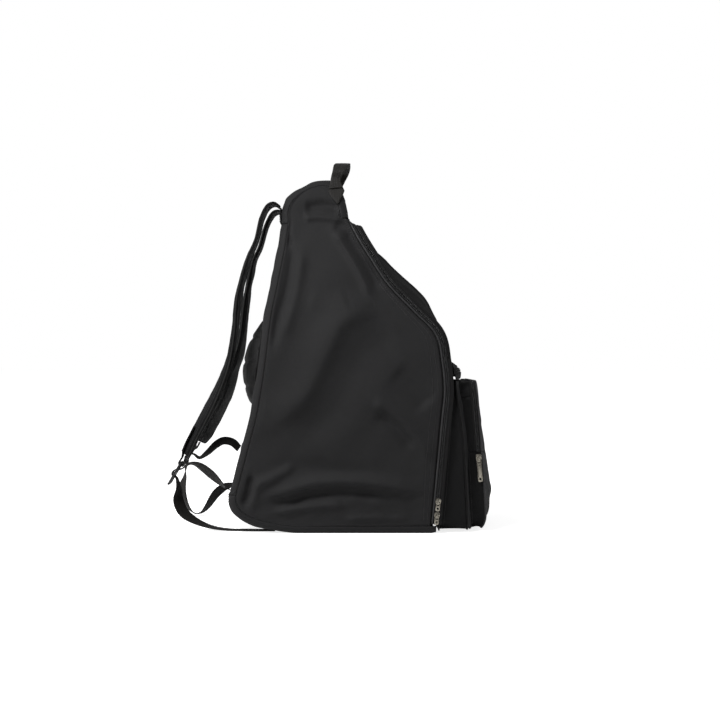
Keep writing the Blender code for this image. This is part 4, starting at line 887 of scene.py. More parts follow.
def adjusting_route(side):
    sign, middle, down, out, _ = lock_frame(side)

    def at_lock(s, h):
        return (*(middle + down * s + out * h), 0)

    def beside(y, z, x, turn):
        return (sign * x, y, z, turn)

    def off_back(away, z, x):
        return (sign * x, float(np.interp(z, wrap_run[60:80, 1], wrap_run[60:80, 0])) + away, z, 0)

    if side == "left":
        points = [off_back(0.0041, 0.0590, 0.112), beside(0.1815, 0.0660, 0.109, 20),
                  beside(0.1960, 0.0780, 0.103, 38), beside(0.2130, 0.0895, 0.096, 34),
                  beside(0.2290, 0.0935, 0.090, 10), at_lock(-0.0110, -0.0055), at_lock(-0.0062, -0.0010),
                  at_lock(-0.0038, 0.0028), at_lock(0.0000, 0.0042), at_lock(0.0038, 0.0028),
                  at_lock(0.0050, -0.0010), at_lock(0.0058, -0.0055), beside(0.2458, 0.0580, 0.089, 14),
                  beside(0.2462, 0.0420, 0.091, 38), beside(0.2400, 0.0270, 0.095, 38),
                  beside(0.2270, 0.0160, 0.100, 24), beside(0.2000, 0.0052, 0.106, 6),
                  beside(0.1700, 0.0012, 0.110, 0), beside(0.1400, 0.0010, 0.113, 0),
                  beside(0.1050, 0.0010, 0.114, 0)]
    else:
        points = [off_back(0.0064, 0.0470, 0.112), beside(0.1860, 0.0460, 0.106, 20),
                  beside(0.1985, 0.0430, 0.100, 36), beside(0.2110, 0.0330, 0.094, 36),
                  beside(0.2230, 0.0150, 0.090, 22), beside(0.2330, 0.0050, 0.088, 8),
                  beside(0.2440, 0.0050, 0.087, 8), beside(0.2560, 0.0180, 0.087, 30),
                  beside(0.2625, 0.0400, 0.088, 42), beside(0.2580, 0.0610, 0.088, 18),
                  at_lock(0.0180, -0.0055), at_lock(0.0100, -0.0035), at_lock(0.0055, -0.0010),
                  at_lock(0.0038, 0.0028), at_lock(0.0000, 0.0042), at_lock(-0.0038, 0.0028),
                  at_lock(-0.0055, -0.0012), at_lock(-0.0065, -0.0060), beside(0.2350, 0.0905, 0.089, 8),
                  beside(0.2230, 0.0985, 0.092, 24), beside(0.2110, 0.1100, 0.095, 32),
                  beside(0.1990, 0.1165, 0.098, 32), beside(0.1850, 0.1140, 0.100, 30),
                  beside(0.1745, 0.1040, 0.102, 24)]
    run = smooth_run(points, 5)
    path = run[:, :3]
    path[:, 2] = np.maximum(path[:, 2], 0.0011)
    turn = np.radians(run[:, 3:])
    along = tangents_of(path)
    flat = np.cross(along, (1.0, 0, 0))
    flat /= np.linalg.norm(flat, axis=1, keepdims=True)
    return path, np.array([1.0, 0, 0]) * np.cos(turn) + flat * np.sin(turn)


# %% The two webbings as cords
for side in ("left", "right"):
    route, across = adjusting_route(side)
    webbing = webbing_strip("adjusting_webbing_" + side, route, WEBBING, 0.0015, across, None,
                            ["webbing_" + side], STRAP_TAPE, columns=7, crown=0.0002)
    finished_mesh(webbing)
    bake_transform(webbing)
    print(side, "webbing", round(length_of(route), 3), "m long")

# %% [markdown]
# ## The front zip
# The front opens on one long zip that climbs the left side, crosses under the cap and comes down the
# right side. Above the pockets half of its tape belongs to the body of the bag and half to the front that
# folds down, so each half is made on its own and rides with its own side. `zip_frames` walks along the
# zip and gives, at every step, a point, the direction towards the front and the direction out of the
# cloth.

# %% Walking along the zip
def zip_frames():
    heights = np.concatenate([np.linspace(0.0135, FOLD_Z, 48), np.linspace(FOLD_Z, 0.428, 60)[1:]])
    slope = (at_height(ZIP_EDGE, heights + 0.001) - at_height(ZIP_EDGE, heights - 0.001)) / 0.002
    t = np.stack([np.zeros_like(slope), slope, np.ones_like(slope)], 1)
    t /= np.linalg.norm(t, axis=1, keepdims=True)
    p = np.stack([-half_width(heights), at_height(ZIP_EDGE, heights), heights], 1)
    o = np.stack([np.zeros_like(slope), -t[:, 2], t[:, 1]], 1)
    f = np.broadcast_to((-1.0, 0.0, 0.0), p.shape)
    top = np.array([0, 0.0018, CAP_FRONT - 0.0022])
    down, out = np.array([0, -0.50, -0.866]), np.array([0, -0.866, 0.50])
    start = np.array([-half_width(top[2]) + 0.016, top[1], top[2]])
    corner = np.array([-half_width(top[2]) + 0.001, top[1] + 0.0004, top[2] - 0.003])
    k = np.linspace(0, 1, 14)[1:, None]
    turn_p = p[-1] * (1 - k) ** 2 + corner * 2 * k * (1 - k) + start * k**2
    turn_o, turn_f = o[-1] * (1 - k) + down * k, f[-1] * (1 - k) + out * k
    half = [np.vstack([p, turn_p]), np.vstack([o, turn_o]), np.vstack([f, turn_f])]
    half[1] /= np.linalg.norm(half[1], axis=1, keepdims=True)
    half[2] /= np.linalg.norm(half[2], axis=1, keepdims=True)
    across = np.linspace(start[0], 0, 12)[1:-1]
    flat = np.stack([across, np.full_like(across, top[1]), np.full_like(across, top[2])], 1)
    left = [np.vstack([half[0], flat]), np.vstack([half[1], np.tile(down, (len(flat), 1))]),
            np.vstack([half[2], np.tile(out, (len(flat), 1))])]
    flip = np.array([-1.0, 1, 1])
    middle = [np.array([[0, top[1], top[2]]]), down[None], out[None]]
    whole = [np.vstack([a, m, a[::-1] * flip]) for a, m in zip(left, middle)]
    return half, whole


HALF_FRAMES, FRAMES = zip_frames()
FOLD_STEP = 47
UPPER = [a[FOLD_STEP:len(a) - FOLD_STEP] for a in FRAMES]
LOWER = {"left": [a[:FOLD_STEP + 1] for a in FRAMES], "right": [a[len(a) - FOLD_STEP - 1:] for a in FRAMES]}


def tape_rows(frames, near, far, sink=0.0004, dip=0.0):
    """Rows of points across a tape. With a dip, what lies past its two seams slopes in under the panels."""
    p, o, f = frames
    d = np.linspace(near, far, 7)
    deep = sink + dip * (np.clip(0.0016 - d, 0, None) + np.clip(d - ZIP_WIDTH + 0.0004, 0, None))
    return p[:, None] + o[:, None] * d[None, :, None] - f[:, None] * deep[None, :, None]


def tape(name, frames, near, far, body, nodes, sink=0.0004, dip=0.0):
    rows = tape_rows(frames, near, far, sink, dip)
    piece = panel(name, rows, frames[2][:, None], body, nodes, ZIP_TAPE, 0.0009)
    return rows, piece


def coil(name, runs, body, across=0.0027, pitch=0.0016, high=0.0012):
    """One side of a zip chain along runs of (points, directions out)."""
    return row_of(name, runs, body, COIL, pitch, (pitch * 0.62, across, high))


# %% Tapes and coils of the front zip
tape("front_tape_bag", UPPER, -0.0050, HALF_ZIP - 0.0001, "bag", ["front_zip_fixed"], dip=0.35)
tape("front_tape_flap", UPPER, HALF_ZIP + 0.0001, ZIP_WIDTH + 0.0030, "front_flap", ["front_zip_flap"],
     dip=0.35)
for side in ("left", "right"):
    tape("front_tape_low_" + side, LOWER[side], -0.0050, ZIP_WIDTH + 0.0030, "bag",
         ["front_zip_lower_" + side], dip=0.35)


def beside_split(frames, off, lift=0.0004):
    p, o, f = frames
    return p + o * (HALF_ZIP + off) + f * lift, f


coil("front_coil_bag", [beside_split(UPPER, -0.0013)]
     + [beside_split(LOWER[s], off) for s in LOWER for off in (-0.0013, 0.0013)], "bag")
coil("front_coil_flap", [beside_split(UPPER, 0.0013)], "front_flap")
print("front zip", round(length_of(FRAMES[0]), 3), "m")

# %% [markdown]
# ## Piping
# A thin cord wrapped in cloth is sewn in beside the zip. It stiffens the edge and catches the light as
# one fine bright line down the side of the bag, and the same piping edges both pockets. Its cloth is
# paler than the shell, a painted highlight that adds to that line. It is a tube along the seam.

# %% Piping along a path
def tube_rows(path, radius, sides=10):
    t = tangents_of(path)
    a = np.cross(t[0], (0.31, 0.20, 0.93))
    a /= np.linalg.norm(a)
    turn = np.linspace(0, math.tau, sides, endpoint=False)
    rows = []
    for p, d in zip(path, t):
        a = a - d * (a @ d)
        a /= np.linalg.norm(a)
        b = np.cross(d, a)
        rows.append(p + radius * (np.cos(turn)[:, None] * a + np.sin(turn)[:, None] * b))
    return np.array(rows)


def piping(name, path, radius, body, nodes=(), finish=None):
    path = np.array(path, float)
    rows = tube_rows(path, radius)
    ends = [rows[:1] * 0.4 + path[:1][:, None] * 0.6, rows[-1:] * 0.4 + path[-1:][:, None] * 0.6]
    rows = np.vstack([np.broadcast_to(path[:1][:, None], rows[:1].shape), ends[0], rows, ends[1],
                      np.broadcast_to(path[-1:][:, None], rows[:1].shape)])
    centre = np.vstack([path[:1], path[:1], path, path[-1:], path[-1:]])
    mesh = mesh_of(name, rows, True, rows - centre[:, None])
    form = bmesh.new()
    form.from_mesh(mesh)
    bmesh.ops.remove_doubles(form, verts=form.verts, dist=1e-6)
    form.to_mesh(mesh)
    form.free()
    return place_piece(name, mesh, [finish or PIPING_WITH_PAINTED_HIGHLIGHT], body, nodes)


# Paler than the shell nylon: a painted highlight along the piping, on top of the real one from its gloss.
PIPING_WITH_PAINTED_HIGHLIGHT = nylon_cloth("piping cloth", (0.012, 0.012, 0.0125), (0.026, 0.0255, 0.027), 0.44, 0.06, weave=0.0005)
piping("front_edge_piping", FRAMES[0] + FRAMES[2] * 0.0002 + FRAMES[1] * 0.0004, 0.0013, "bag",
       ["front_piping"])

# %% [markdown]
# ## Bound seams
# Inside, the raw edges of a seam are wrapped in a narrow tape so that they don't fray. It runs all round
# each side panel, just behind the seam, and also keeps daylight from showing through it.

# %% Bound seam round each side panel
seam_round = np.vstack([side_flat[1, 1:-1], side_flat[1:-1, -2],
                        side_flat[-2, -2:0:-1], side_flat[-2:0:-1, 1]])
for side, sign in (("left", -1), ("right", 1)):
    behind_seam = np.stack([sign * (half_width(seam_round[:, 1]) - 0.0030), *seam_round.T], 1)
    piping("seam_binding_" + side, behind_seam, 0.0017, "bag", finish=BINDING)
print("bound seam", round(length_of(seam_round), 3), "m round each side")

# %% [markdown]
# ## The front that folds down
# The upper front is one bulging panel between the two runs of the zip. Filled from inside, it stands
# forward of the zip, and its surplus cloth gathers in slack folds that hang from the top corners. The
# plain panel under it stays with the bag, behind the pockets.

# %% Front flap
def bulged(edge, middle_y, power, columns):
    """A row from this point at the left to its mirror image, bulging to middle_y."""
    u = np.linspace(-1, 1, columns)
    u = np.sign(u) * (1 - (1 - np.abs(u)) ** 1.35)
    return np.stack([-edge[0] * u, edge[1] + (middle_y - edge[1]) * (1 - np.abs(u) ** power),
                     np.full(columns, edge[2])], 1)


flap_rows = []
for k in range(FOLD_STEP, len(HALF_FRAMES[0])):
    p, o = HALF_FRAMES[0][k], HALF_FRAMES[1][k]
    edge = p + o * (ZIP_WIDTH + 0.0004)
    if k == FOLD_STEP:
        edge[2] = FOLD_Z + 2 * GAP
    middle = min(float(at_height(FRONT_MIDDLE, edge[2])), edge[1] - 0.0004)
    flap_rows.append(bulged(edge, middle, 2.6, 81))
flap_rows = np.array(flap_rows)
x, y, z = np.moveaxis(flap_rows, 2, 0)
out = normals_of(flap_rows, away_from(flap_rows, (0, 0.03, 0.24)))
FLAP_FOLDS = [([(-0.070, 0.405), (-0.050, 0.370), (-0.040, 0.325), (-0.045, 0.280)], 0.0040, 0.0085, 0.2),
              ([(0.062, 0.410), (0.052, 0.372), (0.058, 0.330), (0.050, 0.290)], 0.0038, 0.0085, -0.2),
              ([(-0.052, 0.392), (-0.026, 0.360), (-0.016, 0.315)], -0.0036, 0.0090, 0.0),
              ([(0.040, 0.396), (0.022, 0.358), (0.026, 0.312)], -0.0034, 0.0085, 0.0),
              ([(-0.120, 0.300), (-0.090, 0.284), (-0.050, 0.272), (0.000, 0.276)], 0.0030, 0.0075, 0.2),
              ([(0.118, 0.296), (0.080, 0.276), (0.030, 0.268)], 0.0030, 0.0080, -0.2),
              ([(-0.110, 0.262), (-0.040, 0.256), (0.050, 0.259), (0.115, 0.256)], -0.0022, 0.0060, 0.0)]
relief = 0.0013 * ripple(x, z, 0.030, 3.1)
for line, height, soft, lean in FLAP_FOLDS:
    relief = relief + fold(x, z, line, height, soft, lean)
share = across_share(flap_rows)
down = np.linspace(0, 1, len(x))[:, None] * np.ones_like(x)
relief = relief * held(share, 0.07) * held(down, 0.05)
flap_rows = flap_rows + out * relief[:, :, None]
facing = away_from(flap_rows, (0, 0.03, 0.24))
# The flap takes the darker nylon: painted shade on the shell's cloth.
panel("front_flap_cloth", flap_rows, facing, "front_flap", ["front_flap"], NYLON_IN_PAINTED_SHADE, lining=LINING)
for index in ((slice(None), 3), (slice(None), -4), (-3, slice(None)), (2, slice(None))):
    sew_row("front_flap", flap_rows, index, facing, 2)

# %% Lower front panel
low_heights = np.linspace(FLOOR_GAP, FOLD_Z - 2 * GAP, 40)
low_slope = (at_height(ZIP_EDGE, low_heights + 0.001) - at_height(ZIP_EDGE, low_heights - 0.001)) / 0.002
low_y = at_height(ZIP_EDGE, low_heights) - (ZIP_WIDTH + GAP) * np.sqrt(1 + low_slope**2) - 0.0010
low_w = half_width(low_heights) - 0.0022
k = np.linspace(-1, 1, 61)
low_rows = np.stack([low_w[:, None] * k, np.broadcast_to(low_y[:, None], (40, 61)),
                     np.broadcast_to(low_heights[:, None], (40, 61))], 2)
slack = 0.0004 * ripple(low_rows[:, :, 0], low_rows[:, :, 2], 0.02, 5.0)
low_rows[:, :, 1] += slack * held((k + 1) / 2, 0.05)
panel("lower_front_cloth", low_rows, (0, -1, 0), "bag", ["front_lower_panel"], SHELL, lining=LINING)
sew_row("bag", low_rows, (slice(None), 2), (0, -1, 0), 1)
sew_row("bag", low_rows, (slice(None), -3), (0, -1, 0), 1)
print("front flap folds:", len(FLAP_FOLDS))

# %% [markdown]
# ## Pockets
# Two pockets sit on the front, the small one on the large one. Each has a gusset, a band of cloth that
# stands up from the panel behind, and a face sewn to the gusset's front edge with piping in the seam. The
# small pocket is full and its face is crowned; its zip lies in the gusset, just behind the piping, and
# runs over the top.

# %% Pocket outlines
def large_half(z):
    return half_width(z) - POCKET_MARGIN


def small_half(z):
    return half_width(z) - SMALL_MARGIN


def behind_pockets_y(z):
    slope = (at_height(ZIP_EDGE, z + 0.001) - at_height(ZIP_EDGE, z - 0.001)) / 0.002
    return at_height(ZIP_EDGE, z) - (ZIP_WIDTH + GAP) * np.sqrt(1 + slope**2) - 0.0010


def large_face_y(x, z):
    u = np.minimum(np.abs(x) / large_half(z), 1.0)
    return at_height(LARGE_EDGE, z) - 0.012 * (1 - u**3)


def pocket_outline(half, bottom, top, corner, closed, marks=()):
    """Points (x, z) down the left side, along the bottom and up the right, and over the top if closed."""
    high = top - corner if closed else top
    levels = np.unique(np.concatenate([np.linspace(bottom + corner, high, 34), np.array(marks)]))[::-1]
    w = float(half(bottom + corner))
    turn = np.radians(np.linspace(0, 90, 10))[1:]
    left = [(-float(half(z)), z) for z in levels]
    left += [(-w + corner - corner * math.cos(a), bottom + corner - corner * math.sin(a)) for a in turn]
    run = list(np.linspace(-(w - corner), w - corner, 33)[1:-1])
    loop = left + [(x, bottom) for x in run] + [(-x, z) for x, z in reversed(left)]
    if closed:
        w = float(half(high))
        arc = [(w - corner + corner * math.cos(a), high + corner * math.sin(a)) for a in turn]
        run = list(np.linspace(w - corner, -(w - corner), 31)[1:-1])
        loop += arc + [(x, top) for x in run] + [(-x, z) for x, z in reversed(arc)]
    return np.array(loop)


def outward_of(loop, closed):
    """Unit directions out of a pocket outline, in its own plane."""
    ends = np.roll(loop, -1, 0) - np.roll(loop, 1, 0) if closed else np.gradient(loop, axis=0)
    n = np.stack([ends[:, 1], -ends[:, 0]], 1)
    n /= np.linalg.norm(n, axis=1, keepdims=True)
    middle = np.array([0.0, (loop[:, 1].min() + loop[:, 1].max()) / 2])
    return n * np.sign((n * (loop - middle)).sum(axis=1, keepdims=True))


def gusset_rows(loop, closed, rear, front, slump, size):
    """The band round a pocket. slump is how far the cloth sinks in between its seams."""
    x, z = loop[:, 0], loop[:, 1]
    out = outward_of(loop, closed)
    around = np.concatenate([[0], np.cumsum(np.linalg.norm(np.diff(loop, axis=0), axis=1))])
    rows = []
    for t in np.linspace(0, 1, 15):
        y = rear(x, z) + (front(x, z) - rear(x, z)) * t
        sink = math.sin(math.pi * t) * (-slump + size * ripple(around, t * 0.03 + around * 0, 0.022, 1.7))
        wanted = out * np.broadcast_to(sink, x.shape)[:, None]
        rows.append(np.stack([x + wanted[:, 0], y, np.maximum(z + wanted[:, 1], FLOOR_GAP - 0.001)], 1))
    return np.array(rows), np.stack([out[:, 0], np.zeros(len(out)), out[:, 1]], 1)


# %% Large pocket
LARGE_LOOP = pocket_outline(large_half, FLOOR_GAP, LARGE_TOP, LARGE_CORNER, False)
rows, out = gusset_rows(LARGE_LOOP, False, lambda x, z: behind_pockets_y(z) - 0.0002,
                        lambda x, z: at_height(LARGE_EDGE, z) + 0.0016, 0.0010, 0.0012)
# The large gusset and its piping take the darker nylon: painted shade.
panel("large_pocket_band", rows, out[None], "bag", ["large_pocket_gusset"], GUSSET_NYLON_IN_PAINTED_SHADE, lining=LINING)
sew_row("bag", rows, (2, slice(None)), out[None], 1)
edge = np.stack([LARGE_LOOP[:, 0], at_height(LARGE_EDGE, LARGE_LOOP[:, 1]) + 0.0007, LARGE_LOOP[:, 1]], 1)
piping("large_pocket_piping", edge + out * 0.0002, 0.0013, "bag", finish=GUSSET_NYLON_IN_PAINTED_SHADE)


def rounded_half(half, z, bottom, corner):
    rise = np.clip(corner - (z - bottom), 0, corner)
    straight = half(np.maximum(z, bottom + corner))
    return straight - corner + np.sqrt(np.maximum(corner**2 - rise**2, 0))


face_z = np.concatenate([FLOOR_GAP + LARGE_CORNER * (1 - np.cos(np.linspace(0.10, math.pi / 2, 14))),
                         np.linspace(FLOOR_GAP + LARGE_CORNER, 0.2135, 46)[1:]])
face_w = rounded_half(large_half, face_z, FLOOR_GAP, LARGE_CORNER)
k = np.sin(np.linspace(-math.pi / 2, math.pi / 2, 71))
face_x = face_w[:, None] * k
face_high = np.broadcast_to(face_z[:, None], face_x.shape)
rows = np.stack([face_x, large_face_y(face_x, face_high), face_high], 2)
relief = 0.0012 * ripple(face_x, rows[:, :, 2], 0.030, 0.9)
relief = relief + fold(face_x, face_high, [(-0.125, 0.200), (-0.118, 0.150), (-0.122, 0.080)], 0.0016, 0.006)
relief = relief + fold(face_x, rows[:, :, 2], [(0.125, 0.190), (0.117, 0.140), (0.122, 0.070)], 0.0016, 0.006)
relief *= held((k + 1) / 2, 0.04) * held(np.linspace(0, 1, len(face_z))[:, None], 0.05)
rows[:, :, 1] -= relief
panel("large_pocket_face", rows, (0, -1, 0), "bag", ["large_pocket_front"], SHELL, lining=LINING)
sew_row("bag", rows, (-2, slice(None)), (0, -1, 0), 1)
for column in (3, -4):
    sew_row("bag", rows, (slice(14, None), column), (0, -1, 0), 1)


# %% Large pocket's top: front lip, zip and rear lip
def top_point(u, t):
    """A point on the slope between the pocket's front edge (t = 0) and the bag (t = 1)."""
    bulge = 1 - np.abs(u) ** (3 + 3 * np.minimum(t / 0.3, 1))
    flat_y = -0.1510 - 0.012 * bulge
    flat_z = 0.2152 + 0.003 * bulge
    high_y = -0.1455 - 0.002 * bulge
    high_z = 0.2385 + 0.002 * bulge
    swell = np.sin(math.pi * t) * bulge
    y = flat_y + (high_y - flat_y) * t - 0.0035 * swell
    z = flat_z + (high_z - flat_z) * t + 0.0015 * swell
    return np.stack([(large_half(z) - 0.001) * u, y, z], -1)


def top_rows(t0, t1, steps, waves=0.0):
    u, t = np.meshgrid(np.sin(np.linspace(-math.pi / 2, math.pi / 2, 61)), np.linspace(t0, t1, steps))
    rows = top_point(u, t)
    rows[:, :, 2] += waves * ripple(rows[:, :, 0], t * 0.03, 0.020, 4.0) * held((u + 1) / 2, 0.05)
    return rows


SLOPE_OUT = (0, -0.6, 0.8)
lip = top_rows(-0.02, 0.30, 7, 0.0006)
panel("large_pocket_lip_front", lip, SLOPE_OUT, "bag", ["large_pocket_front_lip"], SHELL, 0.0012)
sew_row("bag", lip, (-2, slice(None)), SLOPE_OUT, 1)
rear = top_rows(0.645, 1.0, 8, 0.0006)
panel("large_pocket_lip_rear", rear, SLOPE_OUT, "bag", ["large_pocket_rear_lip"], SHELL, 0.0012)
sew_row("bag", rear, (1, slice(None)), SLOPE_OUT, 1)
mid = top_rows(0.31, 0.635, 6) - np.array(SLOPE_OUT) * 0.0008
panel("large_pocket_tape", mid, SLOPE_OUT, "bag", ["large_pocket_zip"], ZIP_TAPE, 0.0009)
chain = [top_point(np.linspace(-0.97, 0.97, 80), np.full(80, t)) for t in (0.425, 0.520)]
coil("large_pocket_coil", [(line, np.array(SLOPE_OUT)) for line in chain], "bag")

# %% Small pocket: gusset, piping and zip
MARKS = (POCKET_FOLD_Z + GAP, POCKET_FOLD_Z - GAP)
SMALL_LOOP = pocket_outline(small_half, FLOOR_GAP, SMALL_TOP, SMALL_CORNER, True, MARKS)
SMALL_LOOP = np.vstack([SMALL_LOOP, SMALL_LOOP[:1]])


FOOT_HIGH, FOOT_BACK = 0.026, 0.0085


def drawn_back(z):
    """How far the small pocket's foot is drawn back where it rests on the floor."""
    return FOOT_BACK * np.clip(1 - np.asarray(z) / FOOT_HIGH, 0, 1) ** 2


def small_edge_y(z):
    """The front edge of the small pocket's gusset."""
    return at_height(SMALL_EDGE, z) + drawn_back(z)


rows, out = gusset_rows(SMALL_LOOP, False, lambda x, z: large_face_y(x, z) - 0.0002,
                        lambda x, z: small_edge_y(z) - np.where(z < POCKET_FOLD_Z, ZIP_WIDTH - 0.0004, 0.0),
                        0.0009, 0.0011)
out[0] = out[-1] = (-1, 0, 0)
# The small gusset takes the darker nylon: painted shade.
panel("small_pocket_band", rows, out[None], "bag", ["small_pocket_gusset"], GUSSET_NYLON_IN_PAINTED_SHADE, lining=LINING)
sew_row("bag", rows, (2, slice(None)), out[None], 1)

upper = SMALL_LOOP[:-1]
upper = np.vstack([upper[(upper[:, 1] > POCKET_FOLD_Z) & (upper[:, 0] > 0)],
                   upper[(upper[:, 1] > POCKET_FOLD_Z) & (upper[:, 0] <= 0)]])
over_top = np.argsort(np.arctan2(upper[:, 1] - POCKET_FOLD_Z, upper[:, 0]))
upper = upper[over_top]
upper_out = outward_of(upper, False)
small_zip = [np.stack([upper[:, 0], small_edge_y(upper[:, 1]), upper[:, 1]], 1),
             np.broadcast_to((0.0, -1.0, 0.0), (len(upper), 3)),
             np.stack([upper_out[:, 0], np.zeros(len(upper)), upper_out[:, 1]], 1)]
tape("small_tape_bag", small_zip, 0.0001, HALF_ZIP - 0.0001, "bag", ["small_pocket_zip_fixed"])
tape("small_tape_flap", small_zip, HALF_ZIP + 0.0001, ZIP_WIDTH, "small_pocket_flap",
     ["small_pocket_zip_flap"])
coil("small_coil_bag", [beside_split(small_zip, -0.0013)], "bag")
coil("small_coil_flap", [beside_split(small_zip, 0.0013)], "small_pocket_flap")


# %% Small pocket: crowned face in two parts
def small_face_rows(heights):
    rows = []
    for z in heights:
        top, bottom = SMALL_TOP - SMALL_CORNER, FLOOR_GAP + SMALL_CORNER
        rise = (max(z - top, 0.0) - max(bottom - z, 0.0)) / SMALL_CORNER
        level = math.sqrt(max(1 - rise**2, 0.0))
        w = float(small_half(min(max(z, bottom), top))) - SMALL_CORNER * (1 - level)
        edge = (-w, float(small_edge_y(z)) - ZIP_WIDTH - 0.0004, z)
        middle_y = float(at_height(SMALL_MIDDLE, z) + drawn_back(z))
        rows.append(bulged(edge, min(middle_y, edge[1] - 0.0005), 2.4, 71))
    return np.array(rows)


def small_face(name, heights, body, node):
    """One part of the small pocket's crowned face, on this body, standing for this node."""
    rows = small_face_rows(heights)
    x, z = rows[:, :, 0], rows[:, :, 2]
    relief = 0.0013 * ripple(x, z, 0.026, 6.3)
    for line, height in (([(-0.100, 0.060), (-0.060, 0.052), (0.000, 0.058), (0.080, 0.050)], 0.0020),
                         ([(-0.095, 0.150), (-0.070, 0.175), (-0.030, 0.190)], 0.0022),
                         ([(0.095, 0.145), (0.060, 0.172), (0.020, 0.184)], 0.0020)):
        relief = relief + fold(x, z, line, height, 0.007)
    hem = held(np.linspace(0, 1, len(rows))[:, None], 0.07)
    rows[:, :, 1] -= relief * held(across_share(rows), 0.06) * hem
    panel(name, rows, (0, -1, 0), body, [node], SHELL, lining=LINING)
    sew_row(body, rows, (slice(None), 2), (0, -1, 0), 2)
    sew_row(body, rows, (slice(None), -3), (0, -1, 0), 2)
    return rows


bend = np.linspace(0.06, math.pi / 2, 12)
low_part = np.concatenate([FLOOR_GAP + SMALL_CORNER * (1 - np.sin(math.pi / 2 - bend)),
                           np.linspace(FLOOR_GAP + SMALL_CORNER, POCKET_FOLD_Z - 2 * GAP, 32)[1:]])
low_part = np.unique(low_part)
high_part = np.concatenate([np.linspace(POCKET_FOLD_Z + 2 * GAP, SMALL_TOP - SMALL_CORNER, 30),
                            SMALL_TOP - SMALL_CORNER * (1 - np.sin(bend[:-1]))])
high_part = np.unique(np.clip(high_part, POCKET_FOLD_Z + 2 * GAP, SMALL_TOP - 0.0002))
small_face("small_pocket_lower_face", low_part, "bag", "small_pocket_front")
high_face = small_face("small_pocket_upper_face", high_part, "small_pocket_flap", "small_pocket_flap")
sew_row("small_pocket_flap", high_face, (-3, slice(None)), (0, -1, 0), 6)


def rim_of(loop, off):
    x, z = loop[:, 0], loop[:, 1]
    return np.stack([x, small_edge_y(z) - ZIP_WIDTH + off, z], 1)


closed_loop = SMALL_LOOP[:-1]
below = closed_loop[closed_loop[:, 1] < POCKET_FOLD_Z]
# The small pocket's piping is the paler cloth too: painted highlight.
piping("small_pocket_piping_low", rim_of(below, 0.0), 0.0014, "bag", finish=PIPING_WITH_PAINTED_HIGHLIGHT)
piping("small_pocket_piping_high", rim_of(upper, 0.0), 0.0014, "small_pocket_flap", finish=PIPING_WITH_PAINTED_HIGHLIGHT)
print("pockets done, small zip", round(length_of(small_zip[0]), 3), "m")

# %% [markdown]
# ## Pads blown up by the cloth solver
# The lumbar pad and the shoulder straps are foam in a cloth sleeve. Foam pushes evenly outwards and the
# sleeve holds it in, so a cloth simulation under pressure finds their shape: crowned faces, edges that
# pull in. The frame's solid is copied, remeshed into even small faces, shrunk a little, and inflated for
# twenty frames with gravity off. No point may travel further than a few millimetres. The seams are
# pressed in afterwards, because remeshing would lose them.

# %% The solver and a joined copy of a CAD piece
from mathutils.bvhtree import BVHTree


def joined_copy(name, node, flatten=False):
    """A copy of a CAD piece's mesh with its loose triangles joined up."""
    mesh = bpy.data.meshes.new(name)
    form = bmesh.new()
    form.from_mesh(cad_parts[node].data)
    bmesh.ops.remove_doubles(form, verts=form.verts, dist=2e-5)
    if flatten:
        bmesh.ops.dissolve_limit(form, angle_limit=math.radians(2), verts=form.verts, edges=form.edges)
    bmesh.ops.recalc_face_normals(form, faces=form.faces)
    form.to_mesh(mesh)
    form.free()
    return mesh


def points_of(mesh):
    co = np.zeros(len(mesh.vertices) * 3)
    mesh.vertices.foreach_get("co", co)
    return co.reshape(-1, 3)


def set_points(mesh, co):
    mesh.vertices.foreach_set("co", np.asarray(co, np.float32).reshape(-1))
    mesh.update()


def inflated(name, node, voxel, shrink, pressure, cap):
    """A padded piece: the CAD solid remeshed, shrunk, inflated as cloth and smoothed."""
    scene = bpy.context.scene
    pad = bpy.data.objects.new(name, joined_copy(name, node))
    scene.collection.objects.link(pad)
    even = pad.modifiers.new("even faces", "REMESH")
    even.mode = "VOXEL"
    even.voxel_size = voxel
    even.use_smooth_shade = True
    finished_mesh(pad)
    co = points_of(pad.data)
    normal = np.array([v.normal for v in pad.data.vertices])
    set_points(pad.data, co - normal * shrink)
    start = points_of(pad.data)
    cloth = pad.modifiers.new("cloth", "CLOTH")
    cloth.settings.quality = 5
    cloth.settings.mass = 0.15
    cloth.settings.tension_stiffness = 12
    cloth.settings.compression_stiffness = 12
    cloth.settings.bending_stiffness = 0.4
    cloth.settings.use_pressure = True
    cloth.settings.uniform_pressure_force = pressure
    cloth.settings.effector_weights.gravity = 0
    cloth.point_cache.frame_start = 1
    cloth.point_cache.frame_end = 20
    for step in range(1, 21):
        scene.frame_set(step)
    swollen = pad.evaluated_get(bpy.context.evaluated_depsgraph_get()).to_mesh()
    grown = points_of(swollen)
    pad.modifiers.clear()
    scene.frame_set(1)
    move = grown - start
    far = np.linalg.norm(move, axis=1, keepdims=True)
    set_points(pad.data, start + move * np.minimum(1, cap / np.maximum(far, 1e-9)))
    finer = pad.modifiers.new("finer", "SUBSURF")
    finer.levels = finer.render_levels = 1
    finished_mesh(pad)
    pad.data.shade_smooth()
    return pad


def surface_of(mesh):
    return BVHTree.FromPolygons([v.co for v in mesh.vertices], [tuple(p.vertices) for p in mesh.polygons])


def laid_on(surface, points, towards, reach=0.03):
    """Where rays in this direction meet the surface. A ray that misses repeats the last place met."""
    found = []
    way = np.broadcast_to(np.array(towards, float), np.shape(points))
    for p, d in zip(np.array(points, float), way):
        d = Vector(d).normalized()
        hit = surface.ray_cast(Vector(p) - d * reach, d, reach * 2)[0]
        if hit:
            found.append(tuple(hit))
        elif found:
            found.append(found[-1])
        else:
            found.append(tuple(surface.find_nearest(Vector(p))[0]))
    return np.array(found)


# %% Lumbar pad
def back_y(z):
    run = wrap_run[BACK_SEAM * 10:17 * 10]
    return np.interp(z, run[:, 1], run[:, 0])


